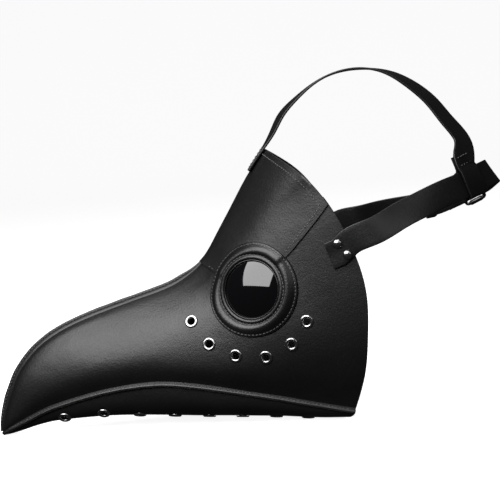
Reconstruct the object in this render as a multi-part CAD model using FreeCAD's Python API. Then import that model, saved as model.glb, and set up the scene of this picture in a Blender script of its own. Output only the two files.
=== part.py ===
import FreeCAD, Part
import math
import os
from FreeCAD import Vector

os.makedirs("parts", exist_ok=True)

# Plague doctor mask, sewn from sheet leather. Millimetres, +Z up, beak towards -X, mirror plane Y = 0.
# The drawing origin is the tip of the beak on the floor. The last step moves it to the middle of the
# overall length, so that the origin lies under the centre of the bounding box.

# --- driving dimensions ---
half_length = 220.3          # half of the overall length, beak tip to strap bend
leather = 1.8                # thickness of the panels
lap_gap = 0.04               # air between two lapped panels
seam_flange = 3.4            # height of the turned-out seam edges
flange_thickness = 1.5       # one leather layer in a turned-out seam
mirror_gap = 0.03            # half of the air between the two side panels
brow_lap = 7.0               # how far the side panels run under the forehead panel

eye_x, eye_z = 225.5, 116.5  # where the eye axis pierces the cheek, in side view
eye_turn = 25.0              # degrees the eye axis is turned forward
eye_tilt = 10.0              # degrees the eye axis is tilted up
ring_radius = 39.0           # padded leather ring round the eye
ring_crown = 3.6             # height of the ring's crest above the cheek on the eye axis
eye_hole_radius = 24.6
lens_radius = 23.6
lens_thickness = 2.0
lens_dome = 6.2
bezel_radius = 24.4
backing_radius = 36.0

eyelet_flange_radius = 5.6
eyelet_barrel_radius = 3.25
eyelet_bore_radius = 2.8
washer_radius = 5.2
cheek_eyelet_spots = [
    (173.0, 92.0), (186.5, 73.5), (207.5, 63.5), (232.0, 61.5), (253.5, 71.5), (267.0, 89.5),
]
chin_eyelet_stations = [3.72, 5.16, 6.35, 7.57, 8.74, 9.85, 10.87, 11.83]
chin_eyelet_angles = [42.0, 44.0, 60.0, 64.0, 64.0, 64.0, 64.0, 64.0]  # degrees round from the side seam

strap_width = 22.0
strap_thickness = 2.2
rivet_pitch = 11.8
rivet_head_radius = 3.8
rivet_shank_radius = 1.5

# --- skin of the mask: pairs of points on the top line and the chin seam, from beak tip to rear rim ---
# each row: top x, top z, seam x, seam z, rearward bow of the section
station_lines = [
    (0.5, 4.0, 2.0, 1.8, 0.0),
    (2.0, 16.0, 10.0, 6.8, 0.0),
    (8.0, 36.0, 24.0, 14.0, 0.0),
    (20.0, 59.5, 43.0, 22.8, 0.0),
    (42.0, 81.5, 64.0, 29.5, 0.0),
    (72.0, 96.7, 88.0, 35.6, 0.0),
    (104.0, 106.9, 113.0, 39.8, 0.0),
    (134.0, 115.2, 139.0, 41.8, 0.0),
    (160.0, 123.5, 162.0, 40.3, 0.5),
    (184.0, 137.0, 188.0, 36.0, 3.0),
    (200.0, 158.5, 213.0, 31.0, 9.0),
    (215.0, 182.0, 241.0, 25.0, 17.0),
    (230.0, 206.0, 271.0, 18.0, 27.5),
    (246.0, 227.0, 302.0, 11.0, 39.4),
]
section_steps = [0.0, 0.06, 0.15, 0.27, 0.42, 0.58, 0.74, 0.88, 1.0]
bow_shape = [0.0, 0.28, 0.62, 0.86, 0.985, 0.965, 0.71, 0.40, 0.0]
# half-widths down the section at chosen stations
width_rows = {
    0: [0.0, 0.3, 0.6, 0.9, 1.15, 1.35, 1.4, 1.3, 1.2],
    2: [0.0, 2.2, 4.4, 6.6, 8.6, 9.9, 10.3, 9.6, 8.5],
    4: [0.0, 4.2, 8.5, 13.0, 17.0, 20.0, 21.3, 20.3, 18.0],
    6: [0.0, 5.5, 11.5, 18.0, 24.5, 29.5, 32.0, 31.0, 28.0],
    9: [0.0, 10.5, 21.0, 31.0, 39.0, 44.0, 47.0, 46.5, 41.0],
    11: [0.0, 21.5, 37.0, 47.5, 54.5, 59.5, 61.0, 57.0, 46.5],
    13: [0.0, 41.0, 58.0, 66.5, 72.0, 74.0, 72.0, 64.0, 52.0],
}
first_round_station = 9      # from here upwards the top line is a smooth forehead, not a seam
# lowest point of the chin under each station: x, z
chin_keel = [
    (2.2, 0.4), (10.5, 1.6), (24.5, 5.2), (43.0, 9.3), (64.0, 11.2), (88.0, 12.0), (113.0, 11.6),
    (139.0, 9.9), (162.0, 8.3), (188.0, 6.6), (213.0, 5.2), (241.0, 3.4), (268.0, 1.2), (293.0, 0.6),
]
chin_squareness = 0.62       # 1 is an ellipse, smaller is squarer


def solve_spline(xs, ys):
    """Second derivatives of the natural cubic spline through the points."""
    n = len(xs)
    second = [0.0] * n
    work = [0.0] * n
    for i in range(1, n - 1):
        ratio = (xs[i] - xs[i - 1]) / (xs[i + 1] - xs[i - 1])
        pivot = ratio * second[i - 1] + 2.0
        second[i] = (ratio - 1.0) / pivot
        slope_after = (ys[i + 1] - ys[i]) / (xs[i + 1] - xs[i])
        slope_before = (ys[i] - ys[i - 1]) / (xs[i] - xs[i - 1])
        bend = 6.0 * (slope_after - slope_before) / (xs[i + 1] - xs[i - 1])
        work[i] = (bend - ratio * work[i - 1]) / pivot
    second[n - 1] = 0.0
    for i in range(n - 2, -1, -1):
        second[i] = second[i] * second[i + 1] + work[i]
    return second


def spline_value(xs, ys, second, x):
    low = 0
    while low < len(xs) - 2 and x > xs[low + 1]:
        low += 1
    span = xs[low + 1] - xs[low]
    a = (xs[low + 1] - x) / span
    b = (x - xs[low]) / span
    bend = ((a ** 3 - a) * second[low] + (b ** 3 - b) * second[low + 1]) * span * span / 6.0
    return a * ys[low] + b * ys[low + 1] + bend


def spline_through(xs, ys):
    second = solve_spline(xs, ys)
    return lambda x: spline_value(xs, ys, second, x)


stations = len(station_lines)
station_numbers = [float(i) for i in range(stations)]
row_numbers = sorted(width_rows)
width_columns = [
    spline_through([float(r) for r in row_numbers], [width_rows[r][j] for r in row_numbers])
    for j in range(len(section_steps))
]


def section_functions(index):
    """x, half-width and z of one station as functions of the fraction down the section."""
    top_x, top_z, seam_x, seam_z, bow = station_lines[index]
    length = math.hypot(seam_x - top_x, seam_z - top_z)
    back_x = (top_z - seam_z) / length
    back_z = (seam_x - top_x) / length
    xs = [top_x + (seam_x - top_x) * v + bow * b * back_x for v, b in zip(section_steps, bow_shape)]
    zs = [top_z + (seam_z - top_z) * v + bow * b * back_z for v, b in zip(section_steps, bow_shape)]
    ws = [max(0.0, column(float(index))) for column in width_columns]
    steps = list(section_steps)
    if index >= first_round_station:
        steps = [-v for v in reversed(section_steps[1:])] + steps
        xs = list(reversed(xs[1:])) + xs
        zs = list(reversed(zs[1:])) + zs
        ws = [-w for w in reversed(ws[1:])] + ws
    return spline_through(steps, xs), spline_through(steps, ws), spline_through(steps, zs)


sections = [section_functions(i) for i in range(stations)]
skin_cache = {}


def skin_column(v):
    key = round(v, 6)
    if key not in skin_cache:
        curves = []
        for part in range(3):
            values = [sections[i][part](v) for i in range(stations)]
            curves.append(spline_through(station_numbers, values))
        skin_cache[key] = curves
    return skin_cache[key]


def skin_point(s, v):
    """Point of the left skin at station s and fraction v down the section; left is -Y."""
    fx, fw, fz = skin_column(abs(v))
    side = 1.0 if v < 0 else -1.0
    return Vector(fx(s), side * max(0.0, fw(s)), fz(s))


def skin_normal(s, v):
    step = 0.01
    s0, s1 = max(0.0, s - step), min(stations - 1.0, s + step)
    along = skin_point(s1, v) - skin_point(s0, v)
    if abs(v) < step and s >= first_round_station - 0.5:
        down = skin_point(s, step) - skin_point(s, -step)
    else:
        v0, v1 = max(0.0, abs(v) - step), min(1.0, abs(v) + step)
        down = skin_point(s, math.copysign(v1, v)) - skin_point(s, math.copysign(v0, v))
    normal = down.cross(along)
    if v < 0:
        normal = normal * -1.0
    normal.normalize()
    return normal


def locate(x, z):
    """Station and fraction of the skin point that shows at x, z in side view."""
    best = None
    for i in range(0, 53):
        for j in range(0, 41):
            s, v = i * 0.25, j * 0.025
            p = skin_point(s, v)
            gap = (p.x - x) ** 2 + (p.z - z) ** 2
            if best is None or gap < best[0]:
                best = (gap, s, v)
    s, v = best[1], best[2]
    for _ in range(12):
        p = skin_point(s, v)
        e = 0.005
        ps = (skin_point(min(s + e, stations - 1.0), v) - p) * (1.0 / e)
        pv = (skin_point(s, min(v + e, 1.0)) - p) * (1.0 / e)
        det = ps.x * pv.z - pv.x * ps.z
        if abs(det) < 1e-9:
            break
        dx, dz = x - p.x, z - p.z
        s = min(max(s + (dx * pv.z - pv.x * dz) / det, 0.0), stations - 1.02)
        v = min(max(v + (ps.x * dz - dx * ps.z) / det, 0.0), 0.98)
    return s, v


def surface_through(grid):
    surface = Part.BSplineSurface()
    surface.interpolate(grid)
    return surface


def sheet_solid(outer_grid, inner_grid):
    """Solid between two point grids of the same shape."""
    outer = surface_through(outer_grid)
    inner = surface_through(inner_grid)
    faces = [outer.toShape(), inner.toShape()]
    u0, u1, v0, v1 = outer.bounds()
    a0, a1, b0, b1 = inner.bounds()
    pairs = [
        (outer.uIso(u0), inner.uIso(a0)), (outer.uIso(u1), inner.uIso(a1)),
        (outer.vIso(v0), inner.vIso(b0)), (outer.vIso(v1), inner.vIso(b1)),
    ]
    for first, second in pairs:
        faces.append(Part.makeRuledSurface(first.toShape(), second.toShape()))
    return close_faces(faces)


def close_faces(faces):
    shell = Part.makeShell(faces)
    shell.sewShape()
    if shell.ShapeType != "Shell":
        shell = shell.Shells[0]
    solid = Part.makeSolid(shell)
    if solid.Volume < 0:
        solid.reverse()
    return solid


def rail(points):
    if len(points) == 2:
        return Part.makeLine(points[0], points[1])
    curve = Part.BSplineCurve()
    curve.interpolate(points)
    return curve.toShape()


def strip_solid(rails):
    """Solid with four long edges, given as four rows of points in order round the section."""
    edges = [rail(points) for points in rails]
    faces = [Part.makeRuledSurface(edges[i], edges[(i + 1) % 4]) for i in range(4)]
    for end in (0, -1):
        corners = [points[end] for points in rails]
        faces.append(Part.Face(Part.makePolygon(corners + [corners[0]])))
    return close_faces(faces)


def mirrored(shape):
    return shape.mirror(Vector(0, 0, 0), Vector(0, 1, 0))


def tool_prism(points, closing, reach=130.0):
    """Side-view outline with one curved edge, extruded across the whole width."""
    curve = rail([Vector(x, -reach, z) for x, z in points])
    corners = [Vector(points[-1][0], -reach, points[-1][1])]
    corners += [Vector(x, -reach, z) for x, z in closing]
    corners.append(Vector(points[0][0], -reach, points[0][1]))
    wire = Part.Wire([curve] + Part.makePolygon(corners).Edges)
    return Part.Face(wire).extrude(Vector(0, 2 * reach, 0))


# --- leather panels ---
s_list = [i * 0.5 for i in range(27)]
v_list = [0.0, 0.03, 0.06, 0.1, 0.15, 0.21, 0.28, 0.36, 0.45, 0.55, 0.65, 0.75, 0.84, 0.92, 1.0]


def skive(s):
    """The leather is pared thin towards the beak tip."""
    return min(1.0, 0.2 + 0.3 * s)


def first_fraction(s, distance):
    """Fraction down the section where a skin offset by this distance reaches the mirror plane."""
    low, high = 0.0, 0.3
    for _ in range(24):
        v = 0.5 * (low + high)
        p = skin_point(s, v) + skin_normal(s, v) * distance
        if p.y > -mirror_gap:
            low = v
        else:
            high = v
    return high


def half_grid(distance):
    """Left skin offset outward by this distance, trimmed to the left of the mirror plane."""
    grid = []
    for s in s_list:
        depth = distance * skive(s)
        start = first_fraction(s, depth)
        row = []
        for v in v_list:
            f = start + (1.0 - start) * v
            row.append(skin_point(s, f) + skin_normal(s, f) * depth)
        grid.append(row)
    return grid


brow_line = [
    (160.0, 146.0), (172.0, 141.0), (183.0, 136.6), (197.0, 129.0), (215.0, 125.5), (236.0, 130.0),
    (257.0, 144.0), (267.0, 154.5), (280.0, 169.0), (292.0, 183.5), (304.0, 199.0),
]
above = [(304.0, 290.0), (160.0, 290.0)]
forehead_zone = tool_prism(brow_line, above)
hidden_zone = tool_prism([(x - brow_lap * 0.45, z + brow_lap * 0.9) for x, z in brow_line], above)

skin_sheet = sheet_solid(half_grid(-lap_gap), half_grid(-leather))
left_panel = skin_sheet.cut(hidden_zone)


def ridge_flange():
    """Turned-out edge of one side panel along the top of the beak."""
    low, high = [], []
    for i in range(0, 37):
        s = i * 0.25
        p = skin_point(s, 0.0)
        q = skin_point(min(s + 0.05, 9.0), 0.0) - skin_point(max(s - 0.05, 0.0), 0.0)
        q.normalize()
        up = Vector(-q.z, 0, q.x)
        rise = seam_flange * min(1.0, 0.45 + 0.3 * s) * min(1.0, 0.35 + (9.0 - s) * 0.8)
        low.append(p - up * 1.6)
        high.append(p + up * rise)
    face = Part.Face(Part.Wire([
        rail(low), Part.makeLine(low[-1], high[-1]), rail(high), Part.makeLine(high[0], low[0]),
    ]))
    strip = face.extrude(Vector(0, -flange_thickness, 0))
    strip.translate(Vector(0, -mirror_gap, 0))
    return strip


chin_x = spline_through(station_numbers, [p[0] for p in chin_keel])
chin_z = spline_through(station_numbers, [p[1] for p in chin_keel])
chin_angles = [0.0, 3.0, 8.0, 15.0, 24.0, 35.0, 48.0, 66.0, 90.0]
chin_angles += [180.0 - a for a in reversed(chin_angles[:-1])]


def chin_point(s, angle):
    """Point of the chin from the left seam (0 degrees) over the keel (90) to the right seam (180)."""
    seam = skin_point(s, 1.0)
    c, n = math.cos(math.radians(angle)), math.sin(math.radians(angle))
    across = math.copysign(abs(c) ** chin_squareness, c) * seam.y
    drop = max(0.0, n) ** chin_squareness
    x = seam.x + (chin_x(s) - seam.x) * max(0.0, n) ** 1.5
    return Vector(x, across, seam.z - (seam.z - chin_z(s)) * drop)


def chin_normal(s, angle):
    step = 0.02
    s0, s1 = max(0.0, s - step), min(stations - 1.0, s + step)
    a0, a1 = max(0.0, angle - 1.0), min(180.0, angle + 1.0)
    along = chin_point(s1, angle) - chin_point(s0, angle)
    round_way = chin_point(s, a1) - chin_point(s, a0)
    normal = round_way.cross(along)
    normal.normalize()
    return normal


def chin_grid(distance):
    return [[chin_point(s, a) + chin_normal(s, a) * distance * skive(s) for a in chin_angles] for s in s_list]


def seam_frame(s):
    """Seam point with the outward direction of its flange and the direction across the flange."""
    p = skin_point(s, 1.0)
    q = skin_point(min(s + 0.05, 13.0), 1.0) - skin_point(max(s - 0.05, 0.0), 1.0)
    q.normalize()
    out = skin_normal(s, 1.0)
    out = Vector(out.x, out.y, 0) * 0.8 + Vector(0, 0, -0.6)
    out = out - q * out.dot(q)
    out.normalize()
    across = out.cross(q)
    if across.z < 0:
        across = across * -1.0
    return p, out, across


def seam_flange_solid(low, high):
    """Turned-out edge along the left chin seam, between two heights across the seam."""
    rows = [[], [], [], []]
    for i in range(0, 53):
        s = i * 0.25
        p, out, across = seam_frame(s)
        reach = seam_flange * min(1.0, 0.4 + 0.3 * s)
        inner = 1.1 * min(1.0, 0.5 + 0.25 * s)
        rows[0].append(p - out * inner + across * low)
        rows[1].append(p + out * reach + across * low)
        rows[2].append(p + out * reach + across * high)
        rows[3].append(p - out * inner + across * high)
    return strip_solid(rows)


def local_frame(origin, axis, hint=Vector(0, 0, 1)):
    """Placement with local Z along the axis and local Y as near to the hint as it can be."""
    z = Vector(axis)
    z.normalize()
    y = hint - z * hint.dot(z)
    y.normalize()
    x = y.cross(z)
    matrix = FreeCAD.Matrix(
        x.x, y.x, z.x, origin.x, x.y, y.y, z.y, origin.y, x.z, y.z, z.z, origin.z, 0, 0, 0, 1
    )
    return FreeCAD.Placement(matrix)


def placed(shape, placement):
    copy = shape.copy()
    copy.Placement = placement.multiply(copy.Placement)
    return copy


def turned(profile):
    """Solid of revolution about local Z from a closed outline of radius and height."""
    points = [Vector(r, 0, h) for r, h in profile]
    wire = Part.makePolygon(points + [points[0]])
    return Part.Face(wire).revolve(Vector(0, 0, 0), Vector(0, 0, 1), 360)


def rounded_top(inner, outer, base, height, count=7):
    """Outline points of a rolled rim between two radii."""
    middle, half = 0.5 * (inner + outer), 0.5 * (outer - inner)
    points = []
    for i in range(count + 1):
        a = math.pi * i / count
        points.append((middle + half * math.cos(a), base + height * math.sin(a)))
    return points


# --- leather panels joined at their turned-out seams ---
left_side = left_panel.fuse([ridge_flange(), seam_flange_solid(0.03, flange_thickness)])
chin_sheet = sheet_solid(chin_grid(-0.03), chin_grid(-leather))
lower_flange = seam_flange_solid(-flange_thickness, -0.03)
chin_sheet = chin_sheet.fuse([lower_flange, mirrored(lower_flange)])

s_forehead = [8.5 + i * 0.25 for i in range(19)]
v_forehead = [0.0, 0.05, 0.1, 0.16, 0.23, 0.31, 0.4, 0.5]
v_forehead = [-v for v in reversed(v_forehead[1:])] + v_forehead


def forehead_grid(distance):
    grid = []
    for s in s_forehead:
        row = []
        for v in v_forehead:
            f = max(abs(v), 1e-4)
            p = skin_point(s, f) + skin_normal(s, f) * distance
            row.append(Vector(p.x, -p.y if v < 0 else p.y, p.z))
        grid.append(row)
    return grid


forehead = sheet_solid(forehead_grid(leather), forehead_grid(lap_gap)).common(forehead_zone)

# --- eyes ---
eye_s, eye_v = locate(eye_x, eye_z)
eye_origin = skin_point(eye_s, eye_v)
turn, tilt = math.radians(eye_turn), math.radians(eye_tilt)
eye_axis = Vector(-math.sin(turn) * math.cos(tilt), -math.cos(turn) * math.cos(tilt), math.sin(tilt))
eye_frame = local_frame(eye_origin, eye_axis)

patch_s = [7.5 + i * 0.5 for i in range(12)]
patch_v = [0.02, 0.08, 0.15, 0.22, 0.3, 0.38, 0.46, 0.54, 0.62, 0.7, 0.78, 0.86, 0.94]


def patch_grid(distance):
    return [[skin_point(s, v) + skin_normal(s, v) * distance for v in patch_v] for s in patch_s]


skin_block = sheet_solid(patch_grid(0.04), patch_grid(-16.0))
ring_outline = [
    (eye_hole_radius, -7.0), (eye_hole_radius, 2.4), (25.4, 3.3), (27.3, 3.5), (28.4, 2.9), (29.5, 3.6),
    (31.5, ring_crown), (33.8, 3.2), (35.8, 2.0), (37.2, 1.9), (38.6, 1.3), (ring_radius, 0.4),
    (ring_radius, -7.5),
]
ring_room = 0.1              # room left round the forehead panel where the ring lies over it
brow_block = sheet_solid(patch_grid(leather + ring_room), patch_grid(-16.0))
brow_block = brow_block.common(tool_prism([(x + ring_room * 0.45, z - ring_room * 0.9) for x, z in brow_line], above))
left_ring = placed(turned(ring_outline), eye_frame).cut(skin_block).cut(brow_block)
left_ring = max(left_ring.Solids, key=lambda solid: solid.Volume)

hole_tool = placed(Part.makeCylinder(eye_hole_radius, 60, Vector(0, 0, -30)), eye_frame)
left_side = left_side.cut(hole_tool)
forehead = forehead.cut([hole_tool, mirrored(hole_tool)])

dome_sphere = (lens_radius ** 2 + lens_dome ** 2) / (2 * lens_dome)


def dome_outline(rise):
    points = []
    for i in range(13):
        r = lens_radius * (1 - i / 12.0)
        points.append((r, rise + math.sqrt(dome_sphere ** 2 - r * r) - (dome_sphere - lens_dome)))
    return points


lens_base = 1.6
outer_dome = dome_outline(lens_base)
inner_dome = [(r, h - lens_thickness) for r, h in reversed(outer_dome)]
lens = turned(outer_dome + inner_dome)
left_lens = placed(lens, eye_frame)
bezel_outline = [
    (22.0, -1.8), (22.0, -0.6), (lens_radius + 0.05, -0.6), (lens_radius + 0.05, 2.7), (bezel_radius, 2.7),
    (bezel_radius, -6.6), (27.4, -6.6), (27.4, -7.6), (23.4, -7.6), (23.4, -1.8),
]
left_bezel = placed(turned(bezel_outline), eye_frame)
backing_tube = Part.makeCylinder(backing_radius, 60, Vector(0, 0, -30))
backing_tube = placed(backing_tube.cut(Part.makeCylinder(eye_hole_radius, 60, Vector(0, 0, -30))), eye_frame)
left_backing = sheet_solid(patch_grid(-leather - 0.06), patch_grid(-leather - 1.5)).common(backing_tube)
cup_flange_radius = 27.4
cup_flange_top = -6.6
flange_seat = Part.makeCylinder(cup_flange_radius + 0.1, 8.0, Vector(0, 0, cup_flange_top + 0.05 - 8.0))
left_backing = left_backing.cut(placed(flange_seat, eye_frame))

# --- eyelets ---
flange_top = rounded_top(eyelet_bore_radius, eyelet_flange_radius, 0.12, 1.1)
eyelet_outline = [(eyelet_bore_radius, -3.7), (4.3, -3.5), (4.3, -3.1), (eyelet_barrel_radius, -3.1)]
eyelet_outline += [(eyelet_barrel_radius, 0.12)] + flange_top
eyelet = turned(eyelet_outline)
washer_top = -2.3
washer_foot = washer_top - 0.6
washer = turned([
    (3.3, washer_foot), (washer_radius, washer_foot), (washer_radius, washer_top), (3.3, washer_top),
])
eyelet_drill = Part.makeCylinder(eyelet_barrel_radius + 0.03, 12, Vector(0, 0, -6))

cheek_frames = []
for x, z in cheek_eyelet_spots:
    s, v = locate(x, z)
    cheek_frames.append(local_frame(skin_point(s, v), skin_normal(s, v)))
chin_frames = []
for s, from_seam in zip(chin_eyelet_stations, chin_eyelet_angles):
    for angle in (from_seam, 180.0 - from_seam):
        chin_frames.append(local_frame(chin_point(s, angle), chin_normal(s, angle), Vector(1, 0, 0)))
left_side = left_side.cut([placed(eyelet_drill, f) for f in cheek_frames])
washer_seat = Part.makeCylinder(washer_radius + 0.05, 6.0, Vector(0, 0, washer_top + 0.03 - 6.0))
chin_sheet = chin_sheet.cut([placed(eyelet_drill, f) for f in chin_frames])
chin_sheet = chin_sheet.cut([placed(washer_seat, f) for f in chin_frames])
left_cheek_eyelets = Part.makeCompound([placed(eyelet, f) for f in cheek_frames])
left_cheek_washers = Part.makeCompound([placed(washer, f) for f in cheek_frames])
chin_eyelets = Part.makeCompound([placed(eyelet, f) for f in chin_frames])
chin_washers = Part.makeCompound([placed(washer, f) for f in chin_frames])

# --- straps ---
strap_up = Vector(-0.35, 0, 0.94)
bar_radius = 1.3             # hinge bar and side bars of the buckle
outer_bar_radius = 1.6
buckle_reach = 17.0          # hinge bar to outer bar
buckle_rise = 3.2            # the outer bar stands this much further out
side_bar_height = 13.6       # side bars above and below the strap's middle
wrap_inner = bar_radius + 0.35
wrap_outer = wrap_inner + strap_thickness
prong_radius = 1.1
prong_bore = bar_radius + 0.08
prong_eye = 2.6
hole_length, hole_width = 8.4, 3.6
prong_hole_length = 11.0     # longer towards the buckle's bar, so that the prong can lift
crown_thickness = 1.8


def path_frames(points, width_hint):
    """Tangent, width and outward directions along a list of points."""
    frames = []
    for i, p in enumerate(points):
        before, after = points[max(i - 1, 0)], points[min(i + 1, len(points) - 1)]
        tangent = after - before
        tangent.normalize()
        hint = width_hint[i] if isinstance(width_hint, list) else width_hint
        width = hint - tangent * hint.dot(tangent)
        width.normalize()
        frames.append((p, tangent, width, tangent.cross(width)))
    return frames


def smooth_path(points, count):
    """Evenly numbered points on the natural spline through a list of points."""
    steps = [0.0]
    for a, b in zip(points, points[1:]):
        steps.append(steps[-1] + a.distanceToPoint(b))
    curves = [spline_through(steps, [p[k] for p in points]) for k in range(3)]
    total = steps[-1]
    return [Vector(*(c(total * i / (count - 1.0)) for c in curves)) for i in range(count)], total


def strap_solid(points, width_hint, width=strap_width, thickness=strap_thickness):
    rows = [[], [], [], []]
    for p, _, across, out in path_frames(points, width_hint):
        a, b = across * (width / 2.0), out * (thickness / 2.0)
        rows[0].append(p + a + b)
        rows[1].append(p - a + b)
        rows[2].append(p - a - b)
        rows[3].append(p + a - b)
    return strip_solid(rows)


def on_skin(x, z, lift):
    s, v = locate(x, z)
    return skin_point(s, v) + skin_normal(s, v) * lift


strap_lift = strap_thickness / 2.0 + 0.15
strap_end = on_skin(289.0, 141.3, strap_lift)
rivet_middle = on_skin(299.5, 146.3, strap_lift)
strap_exit = on_skin(309.0, 150.8, strap_lift)

# the buckle: hinge bar on the right leg, outer bar towards the bend
bar_centre = Vector(411.0, 24.5, 177.5)
buckle_forward = Vector(0.776, -0.502, 0.388)
buckle_forward.normalize()
buckle_up = strap_up - buckle_forward * strap_up.dot(buckle_forward)
buckle_up.normalize()
buckle_out = buckle_up.cross(buckle_forward)


def at_buckle(forward, out, up=0.0):
    return bar_centre + buckle_forward * forward + buckle_out * out + buckle_up * up


left_leg = [
    strap_end, rivet_middle, strap_exit, Vector(324.0, -74.0, 158.0), Vector(345.0, -66.5, 166.5),
    Vector(368.0, -55.5, 175.0), Vector(390.0, -43.0, 182.2), Vector(404.0, -34.0, 186.6),
    Vector(414.0, -25.2, 189.6), Vector(423.0, -16.2, 192.2),
]
bend = [
    Vector(430.0, -9.2, 194.0), Vector(433.8, -3.6, 194.6), Vector(434.4, 2.2, 193.2),
    Vector(431.6, 8.2, 189.6),
]
through_buckle = [
    at_buckle(21.0, -0.6), at_buckle(16.5, -0.2), at_buckle(12.5, 1.4), at_buckle(8.0, 3.7),
    at_buckle(3.5, 5.1), at_buckle(-2.0, 5.3), at_buckle(-8.0, 4.5), at_buckle(-14.0, 3.7),
]
right_leg_plain = [
    Vector(362.0, 54.3, 163.4), Vector(378.0, 45.0, 165.6), Vector(391.4, 36.9, 168.5),
]
right_leg_start = [
    Vector(strap_end.x, -strap_end.y, strap_end.z), Vector(rivet_middle.x, -rivet_middle.y, rivet_middle.z),
    Vector(strap_exit.x, -strap_exit.y, strap_exit.z + 0.4), Vector(324.0, 74.0, 156.3),
    Vector(344.0, 65.0, 160.4),
]
fold_layer = strap_thickness / 2.0 + 0.05
wrap_middle = 0.5 * (wrap_inner + wrap_outer)
right_leg_end = [at_buckle(-14.0, fold_layer), at_buckle(-8.0, fold_layer + 0.3), at_buckle(-3.0, 2.5)]
right_leg_end.append(at_buckle(0.0, wrap_middle))
right_path = right_leg_start + right_leg_plain + right_leg_end
tail_points = []
for p, tangent, across, out in path_frames(right_path, strap_up)[6:8]:
    tail_points.append(p - out * (strap_thickness + 0.25))
left_path = left_leg + bend + through_buckle + list(reversed(tail_points))
left_points, left_strap_length = smooth_path(left_path, 160)
right_points, right_leg_length = smooth_path(right_path, 70)

buckle_frame_placement = local_frame(bar_centre, buckle_up, buckle_out)
# in the buckle's own frame local X runs towards the bend, local Z up the bars, local Y away from the head


def buckle_tool(shape):
    return placed(shape, buckle_frame_placement)


def rod(start, end, radius):
    return Part.makeCylinder(radius, start.distanceToPoint(end), start, end - start)


def punch(forward, out, slope, length):
    """Oblong cutter through the strap, its long side along the strap."""
    half = length / 2.0 - hole_width / 2.0
    tool = Part.makeCylinder(hole_width / 2.0, 9, Vector(half, 0, -4.5))
    tool = tool.fuse(Part.makeCylinder(hole_width / 2.0, 9, Vector(-half, 0, -4.5)))
    tool = tool.fuse(Part.makeBox(2 * half, hole_width, 9, Vector(-half, -hole_width / 2.0, -4.5)))
    ahead = buckle_forward * math.cos(slope) + buckle_out * math.sin(slope)
    across = buckle_up
    through = ahead.cross(across)
    matrix = FreeCAD.Matrix(
        ahead.x, across.x, through.x, 0, ahead.y, across.y, through.y, 0,
        ahead.z, across.z, through.z, 0, 0, 0, 0, 1,
    )
    spot = FreeCAD.Placement(matrix)
    spot.Base = at_buckle(forward, out)
    return placed(tool, spot)


rear_s = [10.5 + i * 0.25 for i in range(11)]
rear_v = [0.15, 0.25, 0.35, 0.45, 0.55, 0.65, 0.75, 0.85]


def rear_grid(distance):
    return [[skin_point(s, v) + skin_normal(s, v) * distance for v in rear_v] for s in rear_s]


rear_block = sheet_solid(rear_grid(0.03), rear_grid(-6.0))
left_strap = strap_solid(left_points, strap_up).cut(rear_block)
left_strap = left_strap.cut([
    punch(7.1, 4.0, math.radians(-22), prong_hole_length),
    punch(23.5, -0.5, 0.0, hole_length), punch(-6.9, 4.7, math.radians(8), hole_length),
])

right_strap = strap_solid(right_points, strap_up).cut(mirrored(rear_block))
wrap = Part.makeCylinder(wrap_outer, strap_width, Vector(0, 0, -strap_width / 2.0))
wrap = wrap.cut(Part.makeCylinder(wrap_inner, strap_width + 2, Vector(0, 0, -strap_width / 2.0 - 1)))
keep_box = Part.makeBox(20, 20, 60, Vector(-0.3, -10, -30))
wrap = buckle_tool(wrap.common(keep_box))
inner_path = [at_buckle(0.0, -wrap_middle), at_buckle(-3.0, -2.5), at_buckle(-8.0, -fold_layer - 0.4)]
inner_path += [at_buckle(-12.0, -fold_layer - 0.15), at_buckle(-16.0, -fold_layer - 0.35)]
inner_points, inner_length = smooth_path(inner_path, 24)
inner_layer = strap_solid(inner_points, strap_up)
prong_slot = Part.makeBox(8.5, 14, 4.4, Vector(-3.4, -7, -2.2))
right_strap = right_strap.fuse([wrap, inner_layer]).cut(buckle_tool(prong_slot))

# --- buckle ---
top_near = Vector(0, 0, side_bar_height)
low_near = Vector(0, 0, -side_bar_height)
top_far = Vector(buckle_reach, buckle_rise, side_bar_height)
low_far = Vector(buckle_reach, buckle_rise, -side_bar_height)
frame_bars = [
    rod(low_near, top_near, bar_radius), rod(low_far, top_far, outer_bar_radius),
    rod(top_near, top_far, bar_radius), rod(low_near, low_far, bar_radius),
]
frame_bars += [Part.makeSphere(bar_radius, corner) for corner in (top_near, low_near)]
frame_bars += [Part.makeSphere(outer_bar_radius, corner) for corner in (top_far, low_far)]
buckle_frame = buckle_tool(frame_bars[0].fuse(frame_bars[1:]))

prong_ring = Part.makeCylinder(prong_eye, 3.2, Vector(0, 0, -1.6))
arm_rest = buckle_rise + outer_bar_radius + prong_radius + 0.42
arm_start = Vector(1.4, 1.7, 0)
arm_slope = (arm_rest - arm_start.y) / (buckle_reach - arm_start.x)
arm_overhang = 2.2
arm_end = Vector(buckle_reach + arm_overhang, arm_rest + arm_overhang * arm_slope, 0)
prong = prong_ring.fuse([rod(arm_start, arm_end, prong_radius), Part.makeSphere(prong_radius, arm_end)])
prong = prong.cut(Part.makeCylinder(prong_bore, 8, Vector(0, 0, -4)))
buckle_prong = buckle_tool(prong)

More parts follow.
